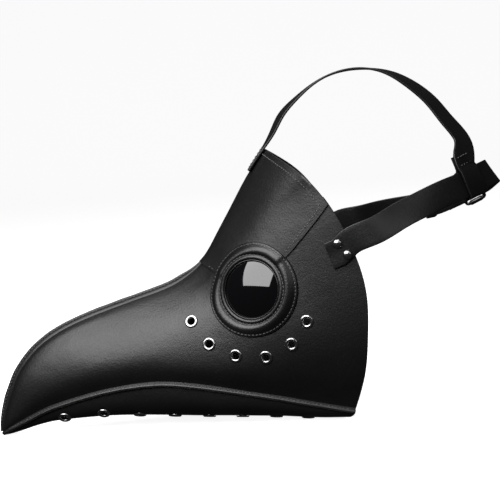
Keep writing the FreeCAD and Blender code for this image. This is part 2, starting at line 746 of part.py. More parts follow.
# --- keeper loop on the tail ---
keeper_wall = 1.2
keeper_length = 8.0
keeper_gap = 0.4
keeper_point, keeper_tangent, keeper_across, keeper_out = path_frames(
    [right_path[6], (right_path[6] + right_path[7]) * 0.5, right_path[7]], strap_up
)[1]
keeper_out = keeper_out * -1.0
stack = 2 * strap_thickness + 0.25
keeper_origin = keeper_point + keeper_out * ((stack - strap_thickness) / 2.0)
keeper_frame = local_frame(keeper_origin, keeper_tangent, keeper_across)
inner_x, inner_y = stack / 2.0 + keeper_gap, strap_width / 2.0 + keeper_gap
outer_x, outer_y = inner_x + keeper_wall, inner_y + keeper_wall
half_keeper = keeper_length / 2.0
keeper = Part.makeBox(2 * outer_x, 2 * outer_y, keeper_length, Vector(-outer_x, -outer_y, -half_keeper))
keeper = keeper.makeFillet(1.0, [e for e in keeper.Edges if abs(e.tangentAt(e.FirstParameter).z) > 0.9])
opening_corner = Vector(-inner_x, -inner_y, -half_keeper - 1)
opening = Part.makeBox(2 * inner_x, 2 * inner_y, keeper_length + 2, opening_corner)
strap_keeper = placed(keeper.cut(opening), keeper_frame)

# --- rivets that hold the straps to the side panels ---
rivet_frames = []
for p, tangent, across, out in path_frames(left_points, strap_up):
    if rivet_frames or p.distanceToPoint(rivet_middle) > 1.2:
        continue
    for side in (-0.5, 0.5):
        rivet_frames.append(local_frame(p + across * side * rivet_pitch, out))
head_base = strap_thickness / 2.0 + 0.05
dome = [(rivet_head_radius * math.cos(a), head_base + 0.4 + 1.9 * math.sin(a)) for a in
        [math.pi / 2.0 * i / 8.0 for i in range(9)]]
shank_end = -(strap_thickness / 2.0 + 0.15 + leather + 1.0)
rivet = turned([(0, shank_end), (rivet_shank_radius, shank_end), (rivet_shank_radius, head_base),
                (rivet_head_radius, head_base)] + dome)
cap_bore = rivet_shank_radius + 0.02
cap_rim = shank_end + 0.55
cap_radius = 3.6
cap = turned([
    (cap_bore, cap_rim), (cap_radius, cap_rim), (3.4, shank_end - 0.2), (2.3, shank_end - 0.8),
    (0, shank_end - 1.0), (0, shank_end - 0.05), (cap_bore, shank_end - 0.05),
])
cap_seat = Part.makeCylinder(cap_radius + 0.05, 6.0, Vector(0, 0, cap_rim + 0.03 - 6.0))
rivet_drill = Part.makeCylinder(rivet_shank_radius + 0.04, 24, Vector(0, 0, -12))
left_rivets = Part.makeCompound([placed(rivet, f) for f in rivet_frames])
left_rivet_caps = Part.makeCompound([placed(cap, f) for f in rivet_frames])
drills = [placed(rivet_drill, f) for f in rivet_frames]
left_strap = left_strap.cut(drills)
left_side = left_side.cut(drills + [placed(cap_seat, f) for f in rivet_frames])
right_strap = right_strap.cut([mirrored(d) for d in drills])

# --- crown strap ---
leg_index = min(range(90), key=lambda i: abs(left_points[i].x - 421.0))
leg_point, leg_tangent, leg_up, leg_out = path_frames(left_points, strap_up)[leg_index]
crown_lift = leather + 0.1 + crown_thickness / 2.0


def on_forehead(s):
    return skin_point(s, 0.0) + skin_normal(s, 1e-4) * crown_lift


loop_gap = 0.4
loop_inner_up = strap_width / 2.0 + 0.6
loop_inner_out = strap_thickness / 2.0 + loop_gap
tab_middle = crown_thickness / 2.0 + 0.05
crown_path = [
    on_forehead(12.15), on_forehead(12.6), on_forehead(13.0),
    Vector(253.0, 0, 242.0), Vector(260.5, 0, 254.5),
    Vector(273.5, 0, 267.0), Vector(291.5, 0, 279.0), Vector(312.5, 0, 286.8), Vector(333.5, -0.5, 287.3),
    Vector(352.0, -1.5, 281.5), Vector(371.0, -3.5, 269.5), Vector(386.5, -6.0, 254.5),
    Vector(399.0, -8.5, 238.0), leg_point + leg_up * 30.0 + leg_out * tab_middle,
    leg_point + leg_up * 23.0 + leg_out * tab_middle, leg_point + leg_up * 13.0 + leg_out * tab_middle,
]
crown_width = [
    Vector(0, 1, 0), Vector(0, 1, 0), Vector(-0.03, 1, 0),
    Vector(-0.12, 0.99, 0.04), Vector(-0.14, 0.99, 0.07),
    Vector(-0.06, 1, 0.05), Vector(0, 1, 0), Vector(0, 1, -0.02), Vector(0.1, 0.99, 0),
    Vector(0.28, 0.95, 0.08), Vector(0.5, 0.85, 0.18), Vector(0.65, 0.72, 0.2), Vector(0.75, 0.62, 0.21),
    leg_tangent, leg_tangent, leg_tangent,
]
crown_points, crown_length = smooth_path(crown_path, 90)
widths = [w.normalize() for w in crown_width]
steps = [0.0]
for a, b in zip(crown_path, crown_path[1:]):
    steps.append(steps[-1] + a.distanceToPoint(b))
width_curves = [spline_through(steps, [w[k] for w in widths]) for k in range(3)]
crown_hints = [Vector(*(c(steps[-1] * i / 89.0) for c in width_curves)) for i in range(90)]
crown_strip = strap_solid(crown_points, crown_hints, strap_width, crown_thickness)
loop_frame = local_frame(leg_point, leg_tangent, leg_up)
ring_up, ring_out = loop_inner_up + crown_thickness, loop_inner_out + crown_thickness
loop = Part.makeBox(2 * ring_out, 2 * ring_up, strap_width, Vector(-ring_out, -ring_up, -strap_width / 2.0))
loop = loop.makeFillet(2.2, [e for e in loop.Edges if abs(e.tangentAt(e.FirstParameter).z) > 0.9])
hollow = Part.makeBox(2 * loop_inner_out, 2 * loop_inner_up, strap_width + 2,
                      Vector(-loop_inner_out, -loop_inner_up, -strap_width / 2.0 - 1))
loop = placed(loop.cut(hollow), loop_frame)
tab_heights = (12.9, 17.0, 21.0, 24.5)
tab_points = [leg_point + leg_up * h - leg_out * tab_middle for h in tab_heights]
back_tab = strap_solid(tab_points, leg_tangent, strap_width, crown_thickness)
crown_strap = crown_strip.fuse([loop, back_tab])

# --- write every piece, moved so that the origin is under the middle of the whole ---
pieces = {
    "left_side_panel": left_side,
    "right_side_panel": mirrored(left_side),
    "forehead_panel": forehead,
    "chin_panel": chin_sheet,
    "left_eye_ring": left_ring,
    "right_eye_ring": mirrored(left_ring),
    "left_lens": left_lens,
    "right_lens": mirrored(left_lens),
    "left_lens_cup": left_bezel,
    "right_lens_cup": mirrored(left_bezel),
    "left_eye_backing": left_backing,
    "right_eye_backing": mirrored(left_backing),
    "left_cheek_eyelets": left_cheek_eyelets,
    "right_cheek_eyelets": mirrored(left_cheek_eyelets),
    "left_cheek_washers": left_cheek_washers,
    "right_cheek_washers": mirrored(left_cheek_washers),
    "chin_eyelets": chin_eyelets,
    "chin_washers": chin_washers,
    "left_strap": left_strap,
    "right_strap": right_strap,
    "left_rivets": left_rivets,
    "right_rivets": mirrored(left_rivets),
    "left_rivet_caps": left_rivet_caps,
    "right_rivet_caps": mirrored(left_rivet_caps),
    "crown_strap": crown_strap,
    "buckle_frame": buckle_frame,
    "buckle_prong": buckle_prong,
    "strap_keeper": strap_keeper,
}
for name in sorted(pieces):
    shape = pieces[name].copy()
    shape.translate(Vector(-half_length, 0, 0))
    shape.exportStep("parts/" + name + ".step")
print("pieces", len(pieces))
print("left strap", round(left_strap_length), "right strap", round(right_leg_length + inner_length + 8.6))
print("crown strap", round(crown_length + 2 * 14.6 + 11.6))
print("buckle axis", buckle_up, "bar centre", bar_centre - Vector(half_length, 0, 0))
print("buckle forward", buckle_forward, "out", buckle_out)
print("keeper axis", keeper_tangent, "keeper at", keeper_origin - Vector(half_length, 0, 0))
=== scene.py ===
import bpy
import bmesh
import math
from mathutils import Matrix, Vector, noise
from mathutils.bvhtree import BVHTree


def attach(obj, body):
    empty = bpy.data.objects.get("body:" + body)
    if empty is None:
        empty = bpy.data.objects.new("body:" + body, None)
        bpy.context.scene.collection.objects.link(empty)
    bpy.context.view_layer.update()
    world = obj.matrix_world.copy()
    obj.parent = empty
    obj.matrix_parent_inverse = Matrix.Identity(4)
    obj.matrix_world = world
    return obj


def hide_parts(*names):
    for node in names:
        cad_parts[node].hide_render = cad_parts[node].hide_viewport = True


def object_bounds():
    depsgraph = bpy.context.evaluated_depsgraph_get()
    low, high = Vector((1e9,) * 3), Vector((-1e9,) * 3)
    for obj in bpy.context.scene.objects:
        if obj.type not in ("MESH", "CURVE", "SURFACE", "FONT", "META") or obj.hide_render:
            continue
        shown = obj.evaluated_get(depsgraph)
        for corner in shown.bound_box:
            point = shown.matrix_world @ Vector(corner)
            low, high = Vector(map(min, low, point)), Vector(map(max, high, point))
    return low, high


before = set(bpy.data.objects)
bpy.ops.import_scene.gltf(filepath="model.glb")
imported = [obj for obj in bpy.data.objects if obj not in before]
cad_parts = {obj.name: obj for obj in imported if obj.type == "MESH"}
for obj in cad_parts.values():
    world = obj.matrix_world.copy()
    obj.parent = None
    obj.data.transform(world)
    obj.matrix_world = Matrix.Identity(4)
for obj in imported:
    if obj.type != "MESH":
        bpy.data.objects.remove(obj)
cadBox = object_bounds()
scene = bpy.context.scene
print("frame loaded")

# shapes are drawn in millimetres from the beak tip, then placed in the frame in metres
halfLength = 220.3


def place(p):
    return Vector(((p[0] - halfLength) * 0.001, p[1] * 0.001, p[2] * 0.001))


# materials
finish = {
    "leatherBlack": (0.0026, 0.0026, 0.0028, 1),
    "leatherWorn": (0.007, 0.007, 0.0073, 1),
    "grainScale": 760.0,
    "panelRoughness": 0.40,
    "ringRoughness": 0.33,
    "strapRoughness": 0.36,
    "grainDepth": 0.00018,
    "fleshColour": (0.05, 0.048, 0.047, 1),
    "fleshShade": (0.016, 0.016, 0.017, 1),
    "edgeColour": (0.035, 0.034, 0.033, 1),
    "edgeShade": (0.018, 0.018, 0.018, 1),
    "threadColour": (0.09, 0.09, 0.093, 1),
    "threadShade": (0.045, 0.045, 0.047, 1),
    "lensColour": (0.0025, 0.0025, 0.003, 1),
    "nickelColour": (0.62, 0.62, 0.63, 1),
    "nickelDull": (0.36, 0.36, 0.365, 1),
    "liningColour": (0.05, 0.05, 0.053, 1),
    "liningShade": (0.02, 0.02, 0.022, 1),
}


def startGroup(name, inputs):
    group = bpy.data.node_groups.new(name, "ShaderNodeTree")
    for label, value in inputs.items():
        kind = "NodeSocketColor" if isinstance(value, tuple) else "NodeSocketFloat"
        socket = group.interface.new_socket(name=label, in_out="INPUT", socket_type=kind)
        socket.default_value = value
    return group, group.nodes.new("NodeGroupInput")


def endGroup(group, color, roughness, height):
    sink = group.nodes.new("NodeGroupOutput")
    for label, value in (("Color", color), ("Roughness", roughness), ("Height", height)):
        kind = "NodeSocketColor" if label == "Color" else "NodeSocketFloat"
        group.interface.new_socket(name=label, in_out="OUTPUT", socket_type=kind)
        group.links.new(value, sink.inputs[label])
    return group


def addNode(tree, kind, links=(), **settings):
    node = tree.nodes.new(kind)
    for key, value in settings.items():
        setattr(node, key, value)
    for target, source in links:
        if isinstance(source, bpy.types.NodeSocket):
            tree.links.new(source, node.inputs[target])
        else:
            node.inputs[target].default_value = source
    return node


def scaled(tree, value, factor, plus=0.0):
    return addNode(tree, "ShaderNodeMath", [(0, value), (1, factor), (2, plus)], operation="MULTIPLY_ADD").outputs[0]


def added(tree, first, second):
    return addNode(tree, "ShaderNodeMath", [(0, first), (1, second)], operation="ADD").outputs[0]


def spotOf(tree):
    return addNode(tree, "ShaderNodeTexCoord").outputs["Object"]


def grain(tree, spot, scale, detail):
    return addNode(tree, "ShaderNodeTexNoise", [("Vector", spot), ("Scale", scale), ("Detail", detail)]).outputs[0]


def blended(tree, share, first, second):
    return addNode(tree, "ShaderNodeMix", [(0, share), (6, first), (7, second)], data_type="RGBA").outputs[2]


# pores, soft creases and worn patches of coated leather
def makeLeatherGroup():
    group, source = startGroup("leatherGrain", {
        "Dark": finish["leatherBlack"], "Worn": finish["leatherWorn"], "Scale": finish["grainScale"], "Roughness": 0.4,
    })
    spot = spotOf(group)
    pores = addNode(group, "ShaderNodeTexVoronoi", [("Vector", spot), ("Scale", source.outputs["Scale"])],
                    feature="SMOOTH_F1").outputs["Distance"]
    fine = grain(group, spot, 2100.0, 2.0)
    creases = grain(group, spot, 260.0, 3.0)
    patches = grain(group, spot, 24.0, 3.0)
    height = added(group, scaled(group, pores, 0.55), scaled(group, fine, 0.25))
    height = added(group, height, scaled(group, creases, 0.5))
    wear = addNode(group, "ShaderNodeMapRange",
                   [("Value", patches), ("From Min", 0.35), ("From Max", 0.75)]).outputs[0]
    shade = blended(group, wear, source.outputs["Dark"], source.outputs["Worn"])
    rough = added(group, source.outputs["Roughness"], scaled(group, wear, -0.07))
    rough = added(group, rough, scaled(group, pores, 0.12))
    return endGroup(group, shade, rough, height)


# brushed streaks and small pits on plated metal
def makeMetalGroup():
    group, source = startGroup("platedMetal", {
        "Bright": finish["nickelColour"], "Dull": finish["nickelDull"], "Roughness": 0.2,
    })
    spot = spotOf(group)
    cloud = grain(group, spot, 320.0, 4.0)
    pits = grain(group, spot, 3000.0, 1.0)
    shade = blended(group, cloud, source.outputs["Bright"], source.outputs["Dull"])
    rough = added(group, source.outputs["Roughness"], scaled(group, cloud, 0.16, -0.08))
    return endGroup(group, shade, rough, pits)


leatherGroup = makeLeatherGroup()
metalGroup = makeMetalGroup()


def newMaterial(name, **sockets):
    material = bpy.data.materials.new(name)
    material.use_nodes = True
    shader = material.node_tree.nodes["Principled BSDF"]
    for key, value in sockets.items():
        shader.inputs[key.replace("_", " ")].default_value = value
    return material, material.node_tree, shader


def addBump(tree, shader, height, distance, strength=1.0):
    bump = addNode(tree, "ShaderNodeBump", [("Height", height), ("Distance", distance), ("Strength", strength)])
    tree.links.new(bump.outputs[0], shader.inputs["Normal"])


def useGroup(tree, shader, group, distance, **values):
    node = tree.nodes.new("ShaderNodeGroup")
    node.node_tree = group
    for key, value in values.items():
        node.inputs[key].default_value = value
    tree.links.new(node.outputs["Color"], shader.inputs["Base Color"])
    tree.links.new(node.outputs["Roughness"], shader.inputs["Roughness"])
    addBump(tree, shader, node.outputs["Height"], distance)


def makeLeather(name, roughness, scale=1.0, depth=1.0):
    material, tree, shader = newMaterial(name, Coat_Weight=0.12, Coat_Roughness=0.3, Specular_IOR_Level=0.5)
    useGroup(tree, shader, leatherGroup, finish["grainDepth"] * depth,
             Roughness=roughness, Scale=finish["grainScale"] * scale)
    return material


panelLeather = makeLeather("panelLeather", finish["panelRoughness"])
ringLeather = makeLeather("ringLeather", finish["ringRoughness"], 1.15, 0.8)
strapLeather = makeLeather("strapLeather", finish["strapRoughness"], 1.1, 0.8)


def speckled(tree, shader, scale, detail, dark, light, bump):
    specks = grain(tree, spotOf(tree), scale, detail)
    ramp = addNode(tree, "ShaderNodeValToRGB", [(0, specks)])
    ramp.color_ramp.elements[0].color = dark
    ramp.color_ramp.elements[1].color = light
    tree.links.new(ramp.outputs[0], shader.inputs["Base Color"])
    addBump(tree, shader, specks, bump)
    return specks


# the flesh side: short fibres with no coating
def makeFlesh():
    material, tree, shader = newMaterial("fleshSide", Sheen_Weight=0.25, Sheen_Roughness=0.5, Roughness=0.9)
    speckled(tree, shader, 900.0, 5.0, finish["fleshShade"], finish["fleshColour"], 0.0003)
    return material


def makeEdge():
    material, tree, shader = newMaterial("cutEdge")
    layers = speckled(tree, shader, 1500.0, 3.0, finish["edgeShade"], finish["edgeColour"], 0.0002)
    tree.links.new(scaled(tree, layers, 0.3, 0.35), shader.inputs["Roughness"])
    return material


# waxed thread: the twist shows as slanting bands
def makeThread():
    material, tree, shader = newMaterial("waxedThread", Coat_Weight=0.25, Coat_Roughness=0.25, Roughness=0.42)
    spot = spotOf(tree)
    twist = addNode(tree, "ShaderNodeTexWave", [("Vector", spot), ("Scale", 700.0), ("Distortion", 1.5)],
                    bands_direction="DIAGONAL")
    shade = blended(tree, twist.outputs[1], finish["threadColour"], finish["threadShade"])
    tree.links.new(shade, shader.inputs["Base Color"])
    addBump(tree, shader, twist.outputs[1], 0.00008)
    return material


def makeLining():
    material, tree, shader = newMaterial("liningWeave", Sheen_Weight=0.3, Roughness=0.85)
    spot = spotOf(tree)
    warp, weft = (addNode(tree, "ShaderNodeTexWave", [("Vector", spot), ("Scale", 420.0)], bands_direction=d).outputs[1]
                  for d in "XZ")
    weave = addNode(tree, "ShaderNodeMath", [(0, warp), (1, weft)], operation="MULTIPLY").outputs[0]
    shade = blended(tree, weave, finish["liningShade"], finish["liningColour"])
    tree.links.new(shade, shader.inputs["Base Color"])
    addBump(tree, shader, weave, 0.0002)
    return material


# dark polished plastic with faint smears
def makeLens():
    material, tree, shader = newMaterial("darkLens", Base_Color=finish["lensColour"], IOR=1.5, Coat_Weight=0.6,
                                         Coat_Roughness=0.02)
    spot = spotOf(tree)
    smear = grain(tree, spot, 70.0, 4.0)
    tree.links.new(scaled(tree, smear, 0.08, 0.005), shader.inputs["Roughness"])
    return material


def makeMetal(name, bright, dull, roughness, **sockets):
    material, tree, shader = newMaterial(name, **sockets)
    useGroup(tree, shader, metalGroup, 0.00002, Bright=bright, Dull=dull, Roughness=roughness)
    return material


fleshSide = makeFlesh()
cutEdge = makeEdge()
waxedThread = makeThread()
liningWeave = makeLining()
darkLens = makeLens()
nickel = makeMetal("brightNickel", finish["nickelColour"], finish["nickelDull"], 0.2, Metallic=1.0)
blackMetal = makeMetal("blackPlate", (0.004, 0.004, 0.0045, 1), (0.01, 0.01, 0.01, 1), 0.3, Metallic=0.0,
                       Coat_Weight=0.3, Coat_Roughness=0.12)
cupPlastic = makeMetal("cupPlastic", (0.006, 0.006, 0.007, 1), (0.014, 0.014, 0.015, 1), 0.2, Coat_Weight=0.3)
print("materials ready")

# mesh helpers


def smooth(t):
    t = min(1.0, max(0.0, t))
    return t * t * (3 - 2 * t)


def gridFaces(rows, cols, closeRows=False, closeCols=False):
    faces = []
    for i in range(rows if closeRows else rows - 1):
        for j in range(cols if closeCols else cols - 1):
            k, m = (i + 1) % rows, (j + 1) % cols
            faces.append((i * cols + j, i * cols + m, k * cols + m, k * cols + j))
    return faces


def endCaps(rows, cols):
    return [tuple(range(cols)), tuple(range((rows - 1) * cols, rows * cols))]


def joined(shapes):
    verts, faces, kinds = [], [], []
    for shape in shapes:
        start = len(verts)
        verts += shape[0]
        faces += [tuple(i + start for i in f) for f in shape[1]]
        kinds += shape[2] if len(shape) > 2 else [0] * len(shape[1])
    return verts, faces, kinds


def mirrored(shape):
    verts = [Vector((p[0], -p[1], p[2])) for p in shape[0]]
    return (verts, [tuple(reversed(f)) for f in shape[1]]) + tuple(shape[2:])


def makePiece(name, shape, materials, body="mask", replaces=(), sharp=50.0):
    mesh = bpy.data.meshes.new(name)
    mesh.from_pydata([place(p) for p in shape[0]], [], shape[1])
    for material in materials:
        mesh.materials.append(material)
    if len(shape) > 2:
        mesh.polygons.foreach_set("material_index", shape[2])
    work = bmesh.new()
    work.from_mesh(mesh)
    bmesh.ops.remove_doubles(work, verts=work.verts, dist=2e-6)
    loose = [v for v in work.verts if not v.link_faces]
    bmesh.ops.delete(work, geom=loose, context="VERTS")
    bmesh.ops.recalc_face_normals(work, faces=work.faces)
    work.to_mesh(mesh)
    work.free()
    mesh.polygons.foreach_set("use_smooth", [True] * len(mesh.polygons))
    mesh.set_sharp_from_angle(angle=math.radians(sharp))
    piece = bpy.data.objects.new(name, mesh)
    scene.collection.objects.link(piece)
    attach(piece, body)
    if replaces:
        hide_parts(*replaces)
    return piece


# the same piece on both sides of the mask
def makePair(name, shape, materials, node=None, sharp=50.0):
    pair = []
    for side, sided in (("left", shape), ("right", mirrored(shape))):
        replaces = [side + "_" + node] if node else ()
        pair.append(makePiece(side + name, sided, materials, replaces=replaces, sharp=sharp))
    return pair


# a frame node whose shape stays gets a better material
def dressed(node, material):
    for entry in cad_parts[node].material_slots:
        entry.material = material


# leather sheet from two matching grids; the rim swells a little, as a cut edge does
def sheetShape(outer, inner, holes=()):
    rows, cols = len(outer), len(outer[0])
    verts = [p for row in outer for p in row] + [p for row in inner for p in row]
    count = rows * cols
    faces, kinds = [], []
    for quad in gridFaces(rows, cols):
        middle = (verts[quad[0]] + verts[quad[2]]) / 2
        if any((middle - spot).cross(axis).length < radius and (middle - spot).length < reach
               for spot, axis, radius, reach in holes):
            continue
        faces.append(quad)
        faces.append(tuple(count + i for i in reversed(quad)))
        kinds += [0, 1]
    rim = [(0, j) for j in range(cols)] + [(i, cols - 1) for i in range(1, rows)]
    rim += [(rows - 1, j) for j in range(cols - 2, -1, -1)] + [(i, 0) for i in range(rows - 2, 0, -1)]
    rings = [[i * cols + j for i, j in rim]]
    for share, swell in ((0.12, 0.10), (0.5, 0.2), (0.88, 0.10)):
        ring = []
        for i, j in rim:
            near = outer[min(max(i, 1), rows - 2)][min(max(j, 1), cols - 2)]
            away = outer[i][j] - near
            away = away.normalized() if away.length > 1e-6 else away
            depth = (inner[i][j] - outer[i][j]).length
            ring.append(len(verts))
            verts.append(outer[i][j].lerp(inner[i][j], share) + away * depth * swell)
        rings.append(ring)
    rings.append([count + i * cols + j for i, j in rim])
    for a, b in zip(rings, rings[1:]):
        for k in range(len(rim)):
            n = (k + 1) % len(rim)
            faces.append((a[k], b[k], b[n], a[n]))
            kinds.append(2)
    return verts, faces, kinds


def axesAt(origin, axis, hint=(0, 0, 1)):
    z = Vector(axis).normalized()
    y = (Vector(hint) - z * Vector(hint).dot(z)).normalized()
    return Vector(origin), y.cross(z), y, z


def fromLocal(axes, x, y, z):
    return axes[0] + axes[1] * x + axes[2] * y + axes[3] * z


def turnedShape(axes, profile, count=48, closed=True):
    verts = []
    for k in range(count):
        a = 2 * math.pi * k / count
        verts += [fromLocal(axes, r * math.cos(a), r * math.sin(a), h) for r, h in profile]
    return verts, gridFaces(count, len(profile), closeRows=True, closeCols=closed)


def cornerArc(p, before, after, reach, shares):
    start, end = p + (before - p).normalized() * reach, p + (after - p).normalized() * reach
    return [start * (1 - t) ** 2 + p * 2 * t * (1 - t) + end * t * t for t in shares]


# rounds the corners of an outline by cutting each one with a short arc
def softened(profile, radius, steps=3):
    out = []
    count = len(profile)
    for k in range(count):
        p = Vector((*profile[k], 0))
        a, b = Vector((*profile[k - 1], 0)), Vector((*profile[(k + 1) % count], 0))
        reach = min(radius, 0.4 * (a - p).length, 0.4 * (b - p).length)
        out += [(q.x, q.y) for q in cornerArc(p, a, b, reach, [i / steps for i in range(steps + 1)])]
    return out


def pathFrames(points, hints):
    frames = []
    for i, p in enumerate(points):
        tangent = (points[min(i + 1, len(points) - 1)] - points[max(i - 1, 0)]).normalized()
        hint = hints[i] if isinstance(hints, list) else hints
        across = (hint - tangent * hint.dot(tangent)).normalized()
        frames.append((p, tangent, across, tangent.cross(across)))
    return frames


def tubeShape(points, radii, count=16, closed=False):
    verts = []
    total = len(points)
    for i, p in enumerate(points):
        before = points[i - 1] if closed or i else p
        after = points[(i + 1) % total] if closed or i < total - 1 else p
        tangent = (after - before).normalized()
        hint = Vector((0.3, 0.9, 0.1)) if abs(tangent.y) < 0.9 else Vector((1, 0, 0))
        side = (hint - tangent * hint.dot(tangent)).normalized()
        other = tangent.cross(side)
        r = radii[i] if isinstance(radii, list) else radii
        for k in range(count):
            a = 2 * math.pi * k / count
            verts.append(p + side * r * math.cos(a) + other * r * math.sin(a))
    faces = gridFaces(total, count, closeRows=closed, closeCols=True)
    return verts, faces if closed else faces + endCaps(total, count)


thread = {"pitch": 3.1, "length": 2.35, "radius": 0.43, "dive": 0.42}


# one stitch: a short thread that dives into the leather at both ends
def stitchShape(middle, along, up):
    side = along.cross(up)
    verts = []
    stations = ((-1, 0.35, -1), (-0.8, 0.85, -0.35), (-0.35, 1, 0.05))
    stations += tuple((-t, thick, rise) for t, thick, rise in reversed(stations))
    for t, thick, rise in stations:
        centre = middle + along * t * thread["length"] / 2 + up * rise * thread["dive"]
        for k in range(6):
            a = math.pi * k / 3
            verts.append(centre + (side * math.cos(a) + up * math.sin(a)) * thread["radius"] * thick)
    return verts, gridFaces(len(stations), 6, closeCols=True)


# evenly spaced stitches along a line of (point, surface normal)
def stitchRow(line, start=1.5, end=1.5, slant=0.0):
    lengths = [0.0]
    for a, b in zip(line, line[1:]):
        lengths.append(lengths[-1] + (b[0] - a[0]).length)
    usable = lengths[-1] - start - end
    count = max(1, int(usable / thread["pitch"]))
    shapes, k = [], 0
    for i in range(count):
        target = start + usable * (i + 0.5) / count
        while k < len(line) - 2 and lengths[k + 1] < target:
            k += 1
        t = (target - lengths[k]) / max(1e-6, lengths[k + 1] - lengths[k])
        middle = line[k][0].lerp(line[k + 1][0], t)
        up = line[k][1].lerp(line[k + 1][1], t).normalized()
        along = (line[k + 1][0] - line[k][0]).normalized()
        along = (along + along.cross(up) * slant).normalized()
        shapes.append(stitchShape(middle, (along - up * along.dot(up)).normalized(), up))
    return joined(shapes)


# the skin that all the panels follow


def splineThrough(xs, ys):
    n = len(xs)
    second, work = [0.0] * n, [0.0] * n
    for i in range(1, n - 1):
        ratio = (xs[i] - xs[i - 1]) / (xs[i + 1] - xs[i - 1])
        pivot = ratio * second[i - 1] + 2.0
        second[i] = (ratio - 1.0) / pivot
        bend = (ys[i + 1] - ys[i]) / (xs[i + 1] - xs[i]) - (ys[i] - ys[i - 1]) / (xs[i] - xs[i - 1])
        work[i] = (6.0 * bend / (xs[i + 1] - xs[i - 1]) - ratio * work[i - 1]) / pivot
    second[n - 1] = 0.0
    for i in range(n - 2, -1, -1):
        second[i] = second[i] * second[i + 1] + work[i]

    def value(x):
        low = 0
        while low < n - 2 and x > xs[low + 1]:
            low += 1
        span = xs[low + 1] - xs[low]
        a, b = (xs[low + 1] - x) / span, (x - xs[low]) / span
        bend = ((a ** 3 - a) * second[low] + (b ** 3 - b) * second[low + 1]) * span * span / 6.0
        return a * ys[low] + b * ys[low + 1] + bend

    return value


# stations from beak tip to rear rim: top x, top z, seam x, seam z, rearward bow
skin = {
    "stations": [
        (0.5, 4.0, 2.0, 1.8, 0.0), (2.0, 16.0, 10.0, 6.8, 0.0), (8.0, 36.0, 24.0, 14.0, 0.0),
        (20.0, 59.5, 43.0, 22.8, 0.0), (42.0, 81.5, 64.0, 29.5, 0.0), (72.0, 96.7, 88.0, 35.6, 0.0),
        (104.0, 106.9, 113.0, 39.8, 0.0), (134.0, 115.2, 139.0, 41.8, 0.0), (160.0, 123.5, 162.0, 40.3, 0.5),
        (184.0, 137.0, 188.0, 36.0, 3.0), (200.0, 158.5, 213.0, 31.0, 9.0), (215.0, 182.0, 241.0, 25.0, 17.0),
        (230.0, 206.0, 271.0, 18.0, 27.5), (246.0, 227.0, 302.0, 11.0, 39.4),
    ],
    "steps": [0.0, 0.06, 0.15, 0.27, 0.42, 0.58, 0.74, 0.88, 1.0],
    "bow": [0.0, 0.28, 0.62, 0.86, 0.985, 0.965, 0.71, 0.40, 0.0],
    "widths": {
        0: [0.0, 0.3, 0.6, 0.9, 1.15, 1.35, 1.4, 1.3, 1.2],
        2: [0.0, 2.2, 4.4, 6.6, 8.6, 9.9, 10.3, 9.6, 8.5],
        4: [0.0, 4.2, 8.5, 13.0, 17.0, 20.0, 21.3, 20.3, 18.0],
        6: [0.0, 5.5, 11.5, 18.0, 24.5, 29.5, 32.0, 31.0, 28.0],
        9: [0.0, 10.5, 21.0, 31.0, 39.0, 44.0, 47.0, 46.5, 41.0],
        11: [0.0, 21.5, 37.0, 47.5, 54.5, 59.5, 61.0, 57.0, 46.5],
        13: [0.0, 41.0, 58.0, 66.5, 72.0, 74.0, 72.0, 64.0, 52.0],
    },
    "firstRound": 9,
    "keel": [
        (2.2, 0.4), (10.5, 1.6), (24.5, 5.2), (43.0, 9.3), (64.0, 11.2), (88.0, 12.0), (113.0, 11.6),
        (139.0, 9.9), (162.0, 8.3), (188.0, 6.6), (213.0, 5.2), (241.0, 3.4), (268.0, 1.2), (293.0, 0.6),
    ],
    "squareness": 0.62,
    "brow": [
        (160.0, 146.0), (172.0, 141.0), (183.0, 136.6), (197.0, 129.0), (215.0, 125.5), (236.0, 130.0),
        (257.0, 144.0), (267.0, 154.5), (280.0, 169.0), (292.0, 183.5), (304.0, 199.0),
    ],
}
stationCount = len(skin["stations"])
lastStation = stationCount - 1.0
stationNumbers = [float(i) for i in range(stationCount)]
rowNumbers = sorted(skin["widths"])
widthColumns = [
    splineThrough([float(r) for r in rowNumbers], [skin["widths"][r][j] for r in rowNumbers])
    for j in range(len(skin["steps"]))
]


def sectionAt(index):
    topX, topZ, seamX, seamZ, bow = skin["stations"][index]
    length = math.hypot(seamX - topX, seamZ - topZ)
    backX, backZ = (topZ - seamZ) / length, (seamX - topX) / length
    xs = [topX + (seamX - topX) * v + bow * b * backX for v, b in zip(skin["steps"], skin["bow"])]
    zs = [topZ + (seamZ - topZ) * v + bow * b * backZ for v, b in zip(skin["steps"], skin["bow"])]
    ws = [max(0.0, column(float(index))) for column in widthColumns]
    steps = list(skin["steps"])
    if index >= skin["firstRound"]:
        steps = [-v for v in reversed(steps[1:])] + steps
        xs, zs = list(reversed(xs[1:])) + xs, list(reversed(zs[1:])) + zs
        ws = [-w for w in reversed(ws[1:])] + ws
    return splineThrough(steps, xs), splineThrough(steps, ws), splineThrough(steps, zs)


sections = [sectionAt(i) for i in range(stationCount)]
columnCache = {}


def skinPoint(s, v):
    key = round(v, 5)
    if key not in columnCache:
        columnCache[key] = [
            splineThrough(stationNumbers, [sections[i][part](v) for i in range(stationCount)]) for part in range(3)
        ]
    fx, fw, fz = columnCache[key]
    return Vector((fx(s), -max(0.0, fw(s)), fz(s)))


def skinNormal(s, v):
    step = 0.01
    along = skinPoint(min(s + step, lastStation), v) - skinPoint(max(s - step, 0.0), v)
    down = skinPoint(s, min(v + step, 1.0)) - skinPoint(s, max(v - step, 0.0))
    if v < step and s >= skin["firstRound"] - 0.5:
        down = Vector((0, -1, 0))
    return down.cross(along).normalized()


